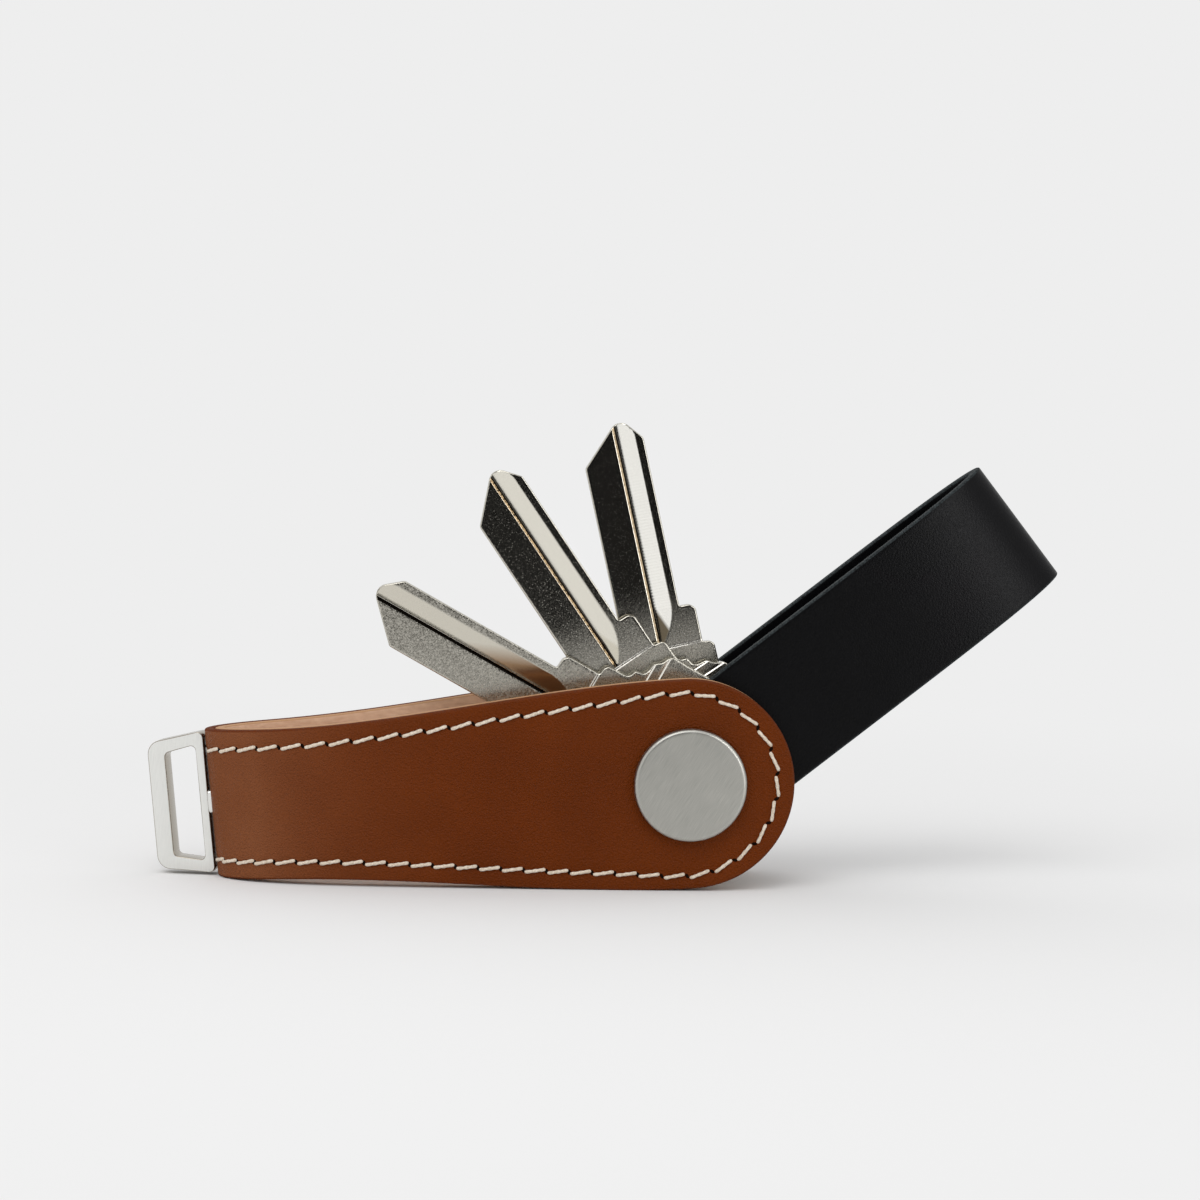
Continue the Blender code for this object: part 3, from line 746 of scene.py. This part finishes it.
def moulded_nylon(name, deep, light, translucency):
    """White nylon with a faint haze."""
    material, tree, where = new_material(name, 0.45, Subsurface_Weight=translucency)
    return wire(material, blend_colours(tree, noise(tree, where, per(haze_size), 2.0), deep, light))


nylon = moulded_nylon("moulded_white_nylon", "dcdcd6", "ecece8", 0.15)
for name in ("washer_front", "washer_rear"):
    dress_node(name, nylon)

# %% [markdown]
# A key blank is a flat plate with a notched bow and a grooved blade.
# Its outline is two curves over u, from the tip to the end of the bow: the back above and the bitting below.
# A loop through both is carried along u: across the front face, over the back, across the rear and home.
# The grooves are a height field: how deep the cutter went at each (u, v).

# %% The outline of a key
key_tip = 49.2
key_shoulder = 22.9
key_step = 17.4
blade_half = 4.35
block_half = 6.5
block_corner = 0.7
bow_half = 13.5
bow_end = 8.5
bow_middle = 4.0
nose_radius = 1.6
nose_offset = 1.45
back_corner = 2.6
corner_cut = 0.32
step_slope = 0.05
bow_notch_shares = (
    (0.994, 0.560), (0.966, 0.596), (0.816, 0.600), (0.784, 0.628), (0.772, 0.688), (0.700, 0.704),
    (0.680, 0.760), (0.672, 0.844), (0.618, 0.893), (0.592, 0.968), (0.560, 1.000), (0.440, 0.992),
)


def soften(points, cut):
    """Each corner becomes a parabola, (1 - t)^2 a + 2 t (1 - t) corner + t^2 b, that starts cut before it.

    On a short run it starts at 0.45 of the run instead, so that two corners never meet.
    """
    points = np.array(points, float)
    here = points[1:-1]
    start, end = (here + side * np.minimum(cut / np.linalg.norm(side, axis=1)[:, None], 0.45)
                  for side in (points[:-2] - here, points[2:] - here))
    t = np.linspace(0, 1, 6)[:, None]
    curves = (1 - t) ** 2 * start[:, None] + 2 * t * (1 - t) * here[:, None] + t ** 2 * end[:, None]
    return np.concatenate((points[:1], curves.reshape(-1, 2), points[-1:]))


def nose(angles):
    """Points on the round nose."""
    return np.stack((key_tip - nose_radius + nose_radius * np.cos(angles),
                     nose_offset + nose_radius * np.sin(angles)), -1)


notches = np.array(bow_notch_shares) * (key_step, bow_half)
swing = np.linspace(0, np.pi / 2, 30)[1:]
head = np.stack((bow_middle - (bow_middle + bow_end) * np.sin(swing), bow_half * np.cos(swing)), -1)
nose_top = nose(np.linspace(0, math.radians(55), 10))
nose_bottom = nose(np.linspace(0, math.radians(-45), 8))
back_line = soften((nose_top[-1], (key_tip - back_corner, blade_half), (key_shoulder, blade_half),
                    (key_shoulder - step_slope, block_half - block_corner),
                    (key_shoulder - block_corner, block_half), (key_step, block_half), *notches, head[0]),
                   corner_cut)
ramp = nose_bottom[-1, 1] + blade_half
bitting_line = soften((nose_bottom[-1], (nose_bottom[-1, 0] - ramp, -blade_half), (key_step, -blade_half),
                       *(notches * (1, -1)), head[0] * (1, -1)), corner_cut)
back = np.concatenate((nose_top[:-1], back_line, head[1:]))
bitting = np.concatenate((nose_bottom[:-1], bitting_line, head[1:] * (1, -1)))
print("outline points:", len(back), "above,", len(bitting), "below")

# %% The grooves of a key
bow_face = 1.0
blade_face = 0.9
ward_edge = 0.95
ward_width = 2.35
ward_depth = 0.62
ward_end = 17.9
ward_runout = 5.6
ward_foot = 0.03
ward_foot_share = 0.12
ward_shade = 5.6
score_middle = 0.59
score_half = 0.28
score_depth = 0.15
band_start = 10.2
band_width = 1.4
scribe_half = 0.21
scribe_flat = 0.06
scribe_depth = 0.12
wall_slope = 0.08
step_marks = (0.0, 0.12, 0.3, 0.42)
step_lines = (-0.03, 0.0, 0.12, 0.21, 0.3, 0.42, 0.45)


def across_ward(v):
    """The place across the wide groove: 0 at its steep wall, 1 at its far rim."""
    return np.clip((v - ward_edge) / ward_width, 0, 1)


def from_scribed(u):
    """How far a place along the key is from the nearer scribed line."""
    return np.minimum(np.abs(u - band_start), np.abs(u - band_start - band_width))


def face_height(u, v, side):
    """How far a face stands from the middle plane: the plate less the milled step, the grooves and two lines.

    The wide groove is ward_depth * (1 - x) deep, with x from 0 at its steep wall to 1 at its far rim,
    less a foot at the wall, ward_foot * (1 - x / ward_foot_share) ** 2. The round cutter rises out of it
    near the bow by ((start - u) / runout) ** 2. The rear face has the same groove on the other half.
    Two scribed lines with flat bottoms cross the bow where a press held it.
    """
    v = v * side
    halfway = (bow_face + blade_face) / 2
    milled = np.interp(u, key_step + np.array(step_marks), (bow_face, halfway, halfway, blade_face))
    x = across_ward(v)
    wall = np.clip((v - ward_edge) / wall_slope + 1, 0, 1)
    raised = np.clip((ward_end + ward_runout - u) / ward_runout, 0, 1.2) ** 2
    foot = ward_foot * np.clip(1 - x / ward_foot_share, 0, 1) ** 2 * np.clip(1 - raised, 0, 1)
    ward = np.clip(ward_depth * np.clip(1 - x - raised, 0, 1) - foot, 0, None) * wall
    score = score_depth * np.clip(1 - np.abs(v - score_middle) / score_half, 0, 1) * (side > 0)
    score = score * np.interp(u, (ward_end, ward_end + 1.0), (0, 1))
    scribed = scribe_depth * np.clip((scribe_half - from_scribed(u)) / (scribe_half - scribe_flat), 0, 1)
    return milled - ward - score - scribed


# %% [markdown]
# Nickel plating follows whatever is under it. On the bow it lies over a tumbled, satin surface.
# On the flats of the blade it is polished like a mirror, so it shows whatever stands in front of it,
# with dust and hairline scratches, and in the groove the milling cutter left fine ripples across.
# The mesh says which is which, so one material can carry all three.
# It also carries painted light and shade: painted shade in the score, painted highlights on the scribed lines
# and the step's edges, a groove wall painted bright on the front key and dark on the others, and where the
# groove runs out a painted reflection of the leather on the front key and painted shade on the rear key.

# %% Nickel plate
# The dark of painted shade in the score and on a groove wall, and the white of painted highlights on the
# scribed lines and step edges.
painted_shade_dark = "0d0a07"
painted_highlight_white = "fbf7ee"
satin_dark = "9c988d"
satin_light = "dcd8cd"
groove_roughness = 0.2
grain_size = 0.17
ripple_pitch = 0.42
speck_size = 0.28
bead_size = 0.22


def nickel_plate(name, flat_roughness, flat_grain, dark_dots, ripples, end_fade, score_tone, wall_light_and_shade,
                 end_reflection_and_shade, groove):
    """Nickel-plated brass: satin bow, polished flats with specks, rippled groove, and painted light and shade
    on the score, the groove's wall and end and the scribed lines.
    """
    material, tree, where = new_material(name, groove_roughness, 1.0)
    polished, milled, along, scored, shaded, wall, ending, scribed = (
        attribute(tree, label) for label in
        ("polished", "milled", "along", "scored", "shaded", "wall", "ending", "scribed"))
    grain = noise(tree, where, per(grain_size), 4.0)
    dust = spread(tree, cells(tree, where, per(speck_size)), 0.10, 0.30, 1.0, 0.0)
    wear_and_painted_highlight = spread(tree, grain, 0.35, 0.65, flat_roughness * 0.75, flat_roughness * 1.5)
    flat = maths(tree, "MULTIPLY_ADD", dust, 0.45 * flat_grain, wear_and_painted_highlight)
    satin_or_flat = between(tree, polished, spread(tree, grain, 0.3, 0.7, 0.22, 0.36), flat)
    satin_tone = blend_colours(tree, spread(tree, grain, 0.22, 0.78), satin_dark, satin_light)
    # Painted reflection and shade where the groove runs out towards the bow.
    ended = spread(tree, ending, -end_fade, 1 - 0.6 * end_fade)
    tone = blend_colours(tree, milled, satin_tone, blend_colours(tree, ended, groove, end_reflection_and_shade))
    beads = spread(tree, noise(tree, where, per(bead_size), 1.0), 0.5, 0.6, 0.0, dark_dots)
    # Painted light and shade: the score's near slope with its dark dots, its far slope in painted shade, the
    # groove wall and the white scribed lines.
    for part, part_tone in ((scored, blend_colours(tree, beads, score_tone, painted_shade_dark)), (shaded, painted_shade_dark),
                            (wall, wall_light_and_shade), (scribed, painted_highlight_white)):
        tone = blend_colours(tree, part, tone, part_tone)
    ripple = maths(tree, "SINE", maths(tree, "MULTIPLY", along, 2 * math.pi / ripple_pitch))
    roughened = maths(tree, "MULTIPLY", grain, spread(tree, polished, 0, 1, 0.5, flat_grain))
    height = maths(tree, "MULTIPLY_ADD", maths(tree, "MULTIPLY", ripple, milled), ripples, roughened)
    return wire(material, tone, between(tree, milled, satin_or_flat, groove_roughness), height, 0.36, 0.02)


# %% The keys
key_fan = (32.75, 59.05, 80.55)
key_pitch = 2.25
# Painted light and shade differ from key to key: the front key's score is all painted shade and its groove
# wall a painted highlight, the other walls are painted shade, the front key's groove end is a painted
# reflection of the leather and the rear key's painted shade, and the groove tone gets lighter from the front
# key to the rear key as painted light.
key_looks = (("front_key", 0.27, 0.06, 0.0, 0.05, 13.0, painted_shade_dark, "f2eee2", "967a5e", "d2cdc0"),
             ("middle_key", 0.08, 0.45, 0.9, 0.05, 0.4, "bba07a", "4a443a", "d8d2c2", "e6e2d6"),
             ("rear_key", 0.06, 0.4, 0.5, 0.28, 0.4, "d2bc9a", painted_shade_dark, "6e6452", "fffdf6"))
key_corner = 0.17
shine_at_step = 0.3
full_shine = 27.0
along_spacing = 0.7
runout_spacing = 0.2
scribe_guard = scribe_half + 0.03
scribe_knots = np.array((-scribe_guard, -scribe_half, -scribe_flat, scribe_flat, scribe_half, scribe_guard))
ward_knots = np.linspace(ward_edge - wall_slope, ward_edge + ward_width, 19)
face_knots = np.unique(np.concatenate((
    np.linspace(-bow_half, bow_half, 19), np.linspace(-blade_half, blade_half, 30), ward_knots, -ward_knots,
    score_middle + score_half * np.array((-1, -0.8, 0, 0.15, 0.8, 1)), (ward_edge, -ward_edge))))


def key_grid():
    """The loop through both outlines at each u, with its values for the plating."""
    extra = np.concatenate((np.arange(-8, key_tip, along_spacing),
                            np.arange(ward_end, ward_end + ward_runout, runout_spacing),
                            key_step + np.array(step_lines),
                            band_start + scribe_knots, band_start + band_width + scribe_knots))
    u = np.unique(np.round(np.concatenate((back[:, 0], bitting[:, 0], extra)), 4))[::-1]
    reach, sink = quarter_round(key_corner, 4)

    def edge(line, sign):
        """An outline at each u, moved inwards by the corner's radius, and its outward normals."""
        v = np.interp(u, line[::-1, 0], line[::-1, 1])
        normal = unit(np.stack((-np.gradient(v, u), np.ones_like(u)), -1)) * sign
        normal[0], normal[-1] = (1, 0), (-1, 0)
        return np.stack((u, v), -1) - key_corner * normal, normal

    def rim(base, normal, from_y, to_y):
        """Round the edge from one face, along the wall and round to the other face."""
        step = np.sign(to_y - from_y)
        y = np.concatenate((from_y + step * sink[1:], to_y - step * sink[:0:-1]), axis=1)
        out = np.concatenate((reach[1:], reach[:0:-1]))
        return base[:, :1] + normal[:, :1] * out, base[:, 1:] + normal[:, 1:] * out, y

    def loop(front, top, rear, low):
        """Across the front face, over the back, across the rear and home."""
        return np.concatenate((front, top, rear[:, ::-1], low), axis=1)

    top_base, top_normal = edge(back, 1)
    low_base, low_normal = edge(bitting, -1)
    v = np.clip(face_knots, low_base[:, 1:], np.maximum(top_base[:, 1:], low_base[:, 1:]))
    share = (v - low_base[:, 1:]) / np.maximum(top_base[:, 1:] - low_base[:, 1:], 1e-9)
    straight = u[:, None]
    low_lean, top_lean = low_base[:, :1] - straight, top_base[:, :1] - straight
    face_u = straight + low_lean * (1 - share) ** 8 + top_lean * share ** 8
    front, rear = -face_height(face_u, v, 1), face_height(face_u, v, -1)
    top_u, top_v, top_y = rim(top_base, top_normal, front[:, -1:], rear[:, -1:])
    low_u, low_v, low_y = rim(low_base, low_normal, rear[:, :1], front[:, :1])
    grid_u = loop(face_u, top_u, face_u, low_u)
    grid_v = loop(v, top_v, v, low_v)
    grid_y = loop(front, top_y, rear, low_y)
    on_face = loop(np.ones_like(v), np.zeros_like(top_u), np.ones_like(v), np.zeros_like(low_u))

    on_front = grid_y < 0
    on_blade = grid_u > key_step + step_marks[-1] - 0.01
    shine = np.interp(grid_u, (key_step, full_shine), (shine_at_step, 1.0)) * on_blade
    sunk = np.clip((blade_face - np.abs(grid_y) - 0.005) / 0.03, 0, 1)
    from_score = (grid_v - score_middle) / score_half
    in_score = on_face * on_front * on_blade * (np.abs(from_score) < 0.9)
    by_wall = np.abs(grid_v - ward_edge + wall_slope / 2) < wall_slope / 2 + 0.001
    # The step's edges are painted white with the scribed lines, as painted highlights.
    wear_and_painted_highlight = np.interp(grid_u - key_step, step_lines, (0, 1, 1, 0, 1, 1, 0))
    values = {
        "polished": np.where(on_face > 0, shine * (1 - sunk), 0.9),
        "milled": on_face * on_blade * sunk * (np.abs(from_score) > 1.05),
        "along": grid_u,
        # Masks for painted light and shade: the score's near and far slopes, the groove's wall, its end, and
        # the scribed lines with the step's edges.
        "scored": in_score * (from_score < 0.2),
        "shaded": in_score * (from_score > 0.1),
        "wall": on_face * on_front * on_blade * by_wall * (grid_u > ward_end + 0.5),
        "ending": ward_shade * (1 - across_ward(np.where(on_front, grid_v, -grid_v))) - (grid_u - ward_end),
        "scribed": on_face * np.maximum(from_scribed(grid_u) < scribe_half + 0.01, wear_and_painted_highlight),
    }
    return np.stack((grid_u, grid_y, -grid_v), -1), values


grid, values = key_grid()
for number, (fan, (body, *look)) in enumerate(zip(key_fan, key_looks), 1):
    placed = to_world(grid + (0, (number - 2) * key_pitch, 0), math.pi - math.radians(fan) + tilt)
    key = make_piece(f"key_blank_{number}", [placed], values, sharp_angle=30)
    carve_pivot_hole(key)
    plated = nickel_plate(f"nickel_plated_brass_{number}", *look)
    finish_piece(key, plated, body, "nickel_plate", f"key_{number}")

# %% [markdown]
# The end ring is cut from thick stainless plate: a trapezoid with round corners and a window.
# Outline and window have the same corners in the same order, so one loop carried round between them,
# front face, window wall, rear face and outer wall, makes the whole ring without any cutting.
# A collar holds it off the leather, and its stem goes through the fold to a small burr inside.

# %% The end ring
ring_gap = 0.15
ring_height = 19.5
ring_outer_height = 17.2
ring_width = 7.9
ring_half_thickness = 1.4
ring_near_bar = 1.15
ring_outer_bar = 2.4
ring_side_bar = 1.8
ring_edge = 0.14
ring_corners = np.array((0.7, 1.9, 1.9, 0.7))
window_corners = np.full(4, 0.7)
collar_half_height = 1.6
collar_half_depth = 1.38
collar_squareness = 0.3
collar_end = 2.4
stem_radius = 0.9
stem_end = 6.0
stem_steps = 48
straight_steps = 10
round_steps = 8

swivel = joints["ring_swivel"]
ring_x = np.array(swivel["axis"])
case_up = np.array((-math.sin(tilt), 0, math.cos(tilt)))
ring_y = np.cross(case_up, ring_x)
ring_y /= np.linalg.norm(ring_y)
ring_z = np.cross(ring_x, ring_y)


def ring_to_world(points):
    """From the ring's own millimetres, x along the stem towards the case, to the frame."""
    return np.array(swivel["pos_m"]) + points @ np.stack((ring_x, ring_y, ring_z)) * millimetre


def rounded_loop(corners, radii):
    """A closed outline with arcs at its corners, with the same count of points for any shape."""
    corners = np.array(corners, float)
    before = unit(np.roll(corners, 1, axis=0) - corners)
    after = unit(np.roll(corners, -1, axis=0) - corners)
    half = np.arccos(np.sum(before * after, axis=1)) / 2
    bisector = unit(before + after)
    centre = corners + bisector * (radii / np.sin(half))[:, None]
    sweep = np.linspace(-1, 1, round_steps)[None, :] * (np.pi / 2 - half)[:, None]
    side = np.sign(before[:, 0] * after[:, 1] - before[:, 1] * after[:, 0])[:, None]
    out = np.arctan2(-bisector[:, 1], -bisector[:, 0])[:, None] - side * sweep
    arcs = centre[:, None] + radii[:, None, None] * np.stack((np.cos(out), np.sin(out)), -1)
    ends = np.roll(arcs[:, 0], -1, axis=0)
    t = np.linspace(0, 1, straight_steps + 2)[1:-1, None]
    runs = arcs[:, -1][:, None] * (1 - t) + ends[:, None] * t
    return np.concatenate((arcs, runs), axis=1).reshape(-1, 2)


def ring_grid():
    """The loop of the ring's section at each place round the window, and whether it lies on a cut wall."""
    near, far = -ring_gap, -ring_gap - ring_width
    half, outer = ring_height / 2, ring_outer_height / 2
    outside = rounded_loop(((near, half), (far, outer), (far, -outer), (near, -half)), ring_corners)
    near, far = near - ring_near_bar, far + ring_outer_bar
    half, outer = half - ring_side_bar, outer - ring_side_bar + 0.25
    window = rounded_loop(((near, half), (far, outer), (far, -outer), (near, -half)), window_corners)
    inwards = unit(window - outside)
    reach, sink = quarter_round(ring_edge, 5)
    inset = ring_edge - np.concatenate((reach, reach[::-1]))
    y = np.concatenate((sink - ring_half_thickness, ring_half_thickness - sink[::-1]))

    def wall(line, sign):
        """Round the edge from the front face down the wall and round to the rear face."""
        flat = line[:, None] + sign * inwards[:, None] * inset[None, :, None]
        return np.stack((flat[..., 0], np.broadcast_to(y, flat.shape[:2]), flat[..., 1]), -1)

    loop = np.concatenate((wall(window, -1), wall(outside, 1)[:, ::-1]), axis=1)
    loop = np.concatenate((loop, loop[:1]))
    return ring_to_world(loop), np.abs(loop[..., 1]) < ring_half_thickness - 0.01


def stem_grid():
    """The square shoulder and the round stem, carried along the ring's own x axis.

    A section is depth * sign(cos) * |cos| ** power by height * sign(sin) * |sin| ** power,
    so power 1 is round and less is squarer.
    """
    start = -ring_gap - 0.5 * ring_near_bar
    square = collar_half_depth, collar_half_height, collar_squareness
    tip = stem_radius * 0.7
    depth, height, power, x = np.array((
        (0, 0, collar_squareness, start), (*square, start), (*square, collar_end),
        (stem_radius, stem_radius, 1, collar_end), (stem_radius, stem_radius, 1, stem_end - 0.2),
        (tip, tip, 1, stem_end), (0, 0, 1, stem_end))).T[..., None]
    cosine, sine = np.cos(full_turn(stem_steps)), np.sin(full_turn(stem_steps))
    y = depth * np.sign(cosine) * np.abs(cosine) ** power
    z = height * np.sign(sine) * np.abs(sine) ** power
    return ring_to_world(np.stack(np.broadcast_arrays(x, y, z), -1))


ring_steel = brushed_steel("tumbled_stainless_plate", "e4e4e0", "f0f0ec", 0.34, math.radians(85), 0.002)
plate, cut = ring_grid()
stem = stem_grid()
values = {"cut": np.concatenate((cut.ravel(), np.zeros(stem.shape[0] * stem.shape[1])))}
ring = make_piece("end_ring_plate", [plate, stem], values, sharp_angle=35)
finish_piece(ring, ring_steel, "ring", "satin_steel", "end_ring")
dress_node("ring_burr", ring_steel)

# %% [markdown]
# The photograph is a product shot on white paper. The floor here is one wide disc of matt white,
# which fades into the same white as the world, so there is no horizon and only the object's own shadow.
# Here and below sizes are in metres, as the frame has them.

# %% Floor and world
paper_white = "eeeeee"
floor_radius = 3.0
fade_start = 0.05
fade_end = 0.24

around = full_turn(96)
rings = np.array((0.0, 0.1, 0.3, 1.0))[:, None] * floor_radius
disc = np.broadcast_arrays(rings * np.cos(around), rings * np.sin(around), 0.0)
floor = make_piece("floor", [np.stack(disc, -1)])
floor_paint, floor_tree, floor_where = new_material("matt_white_paper", 0.9, Base_Color="ebebeb",
                                                    Specular_IOR_Level=0.0)
paper = floor_tree.nodes["Principled BSDF"].outputs[0]
distance = add(floor_tree, "ShaderNodeVectorMath", {0: floor_where}, operation="LENGTH").outputs["Value"]
far = spread(floor_tree, distance, fade_start, fade_end, course="SMOOTHSTEP")
glow = add(floor_tree, "ShaderNodeEmission", {"Color": paper_white})
mixed = add(floor_tree, "ShaderNodeMixShader", {0: far, 1: paper, 2: glow.outputs[0]})
plug(floor_tree, floor_tree.nodes["Material Output"].inputs["Surface"], mixed.outputs[0])
floor.data.materials.append(floor_paint)

world = bpy.data.worlds.new("white_studio")
bpy.context.scene.world = world
world.use_nodes = True
world_tree = world.node_tree
backdrop = world_tree.nodes["Background"]
rays = add(world_tree, "ShaderNodeLightPath").outputs
seen = maths(world_tree, "MAXIMUM", rays["Is Camera Ray"], rays["Is Glossy Ray"])
seen_through = maths(world_tree, "MAXIMUM", seen, rays["Is Transmission Ray"])
plug(world_tree, backdrop.inputs["Color"], paper_white)
plug(world_tree, backdrop.inputs["Strength"], spread(world_tree, seen_through, 0, 1, 0.98, 1.0))

# %% [markdown]
# One wide lamp high in front, a little to the left, throws the soft shadow to the rear right.
# A dark card stands in front of the table, and it is what the polished flats and the waxed leather reflect,
# as photographers do to give them depth. A white card beside it on the right puts a sheen on the loop's fold,
# and only glossy rays see the two cards.

# %% The lamp and the cards
lamp_place = np.array((-0.24, -0.58, 0.78))
lamp_target = np.array((0.0, 0.0, 0.03))
lamp_size = 0.60
lamp_power = 2.85
card_y = -0.3
card_height = 0.3
white_card_light = 5.0

lamp = bpy.data.lights.new("soft_box_front", "AREA")
lamp.size = lamp_size
lamp.energy = lamp_power
soft_box = bpy.data.objects.new("soft_box_front", lamp)
bpy.context.scene.collection.objects.link(soft_box)
soft_box.location = lamp_place
soft_box.rotation_euler = Vector(lamp_place - lamp_target).to_track_quat("Z", "Y").to_euler()


def card(name, finish, left, right, light):
    """An upright card in front of the table from left to right in metres, seen by glossy rays only."""
    corners = np.array(((left, card_y, 0), (right, card_y, 0), (right, card_y, card_height),
                        (left, card_y, card_height)))
    piece = make_piece(name, [np.stack((np.broadcast_to(corners.mean(axis=0), corners.shape), corners))])
    piece.data.materials.append(new_material(finish, 1.0, Base_Color="0a0a0a", Emission_Color="ffffff",
                                             Emission_Strength=light)[0])
    for rays in ("camera", "diffuse", "shadow", "transmission"):
        setattr(piece, f"visible_{rays}", False)


card("dark_card", "black_card", -0.10, 0.16, 0.0)
card("white_card", "lit_white_card", 0.165, 0.28, white_card_light)

# %% [markdown]
# The camera was found by matching the round cap, the three blades, the loop and the edges of the case.
# It stands a little left of the screw and looks slightly down, with a long lens, rolled by about a degree.

# %% Camera
camera_from_pivot = np.array((-33.954, -352.607, 47.123))
camera_yaw = math.radians(-3.546)
camera_pitch = math.radians(3.740)
camera_roll = math.radians(1.232)
focal_pixels = 2588.0
image_pixels = 1200
sensor_width = 36.0

level = np.array((math.cos(camera_yaw), math.sin(camera_yaw), 0))
ahead = np.array((-math.sin(camera_yaw), math.cos(camera_yaw), 0))
forward = ahead * math.cos(camera_pitch) - np.array((0, 0, math.sin(camera_pitch)))
above = np.cross(level, forward)
right = level * math.cos(camera_roll) + above * math.sin(camera_roll)
upward = above * math.cos(camera_roll) - level * math.sin(camera_roll)
lens = bpy.data.cameras.new("camera")
lens.sensor_width = sensor_width
lens.lens = focal_pixels / image_pixels * sensor_width
camera = bpy.data.objects.new("camera", lens)
bpy.context.scene.collection.objects.link(camera)
matrix = Matrix(np.column_stack((right, upward, -forward)).tolist()).to_4x4()
matrix.translation = pivot + camera_from_pivot * millimetre
camera.matrix_world = matrix
bpy.context.scene.camera = camera
bpy.context.scene.view_settings.view_transform = "Standard"
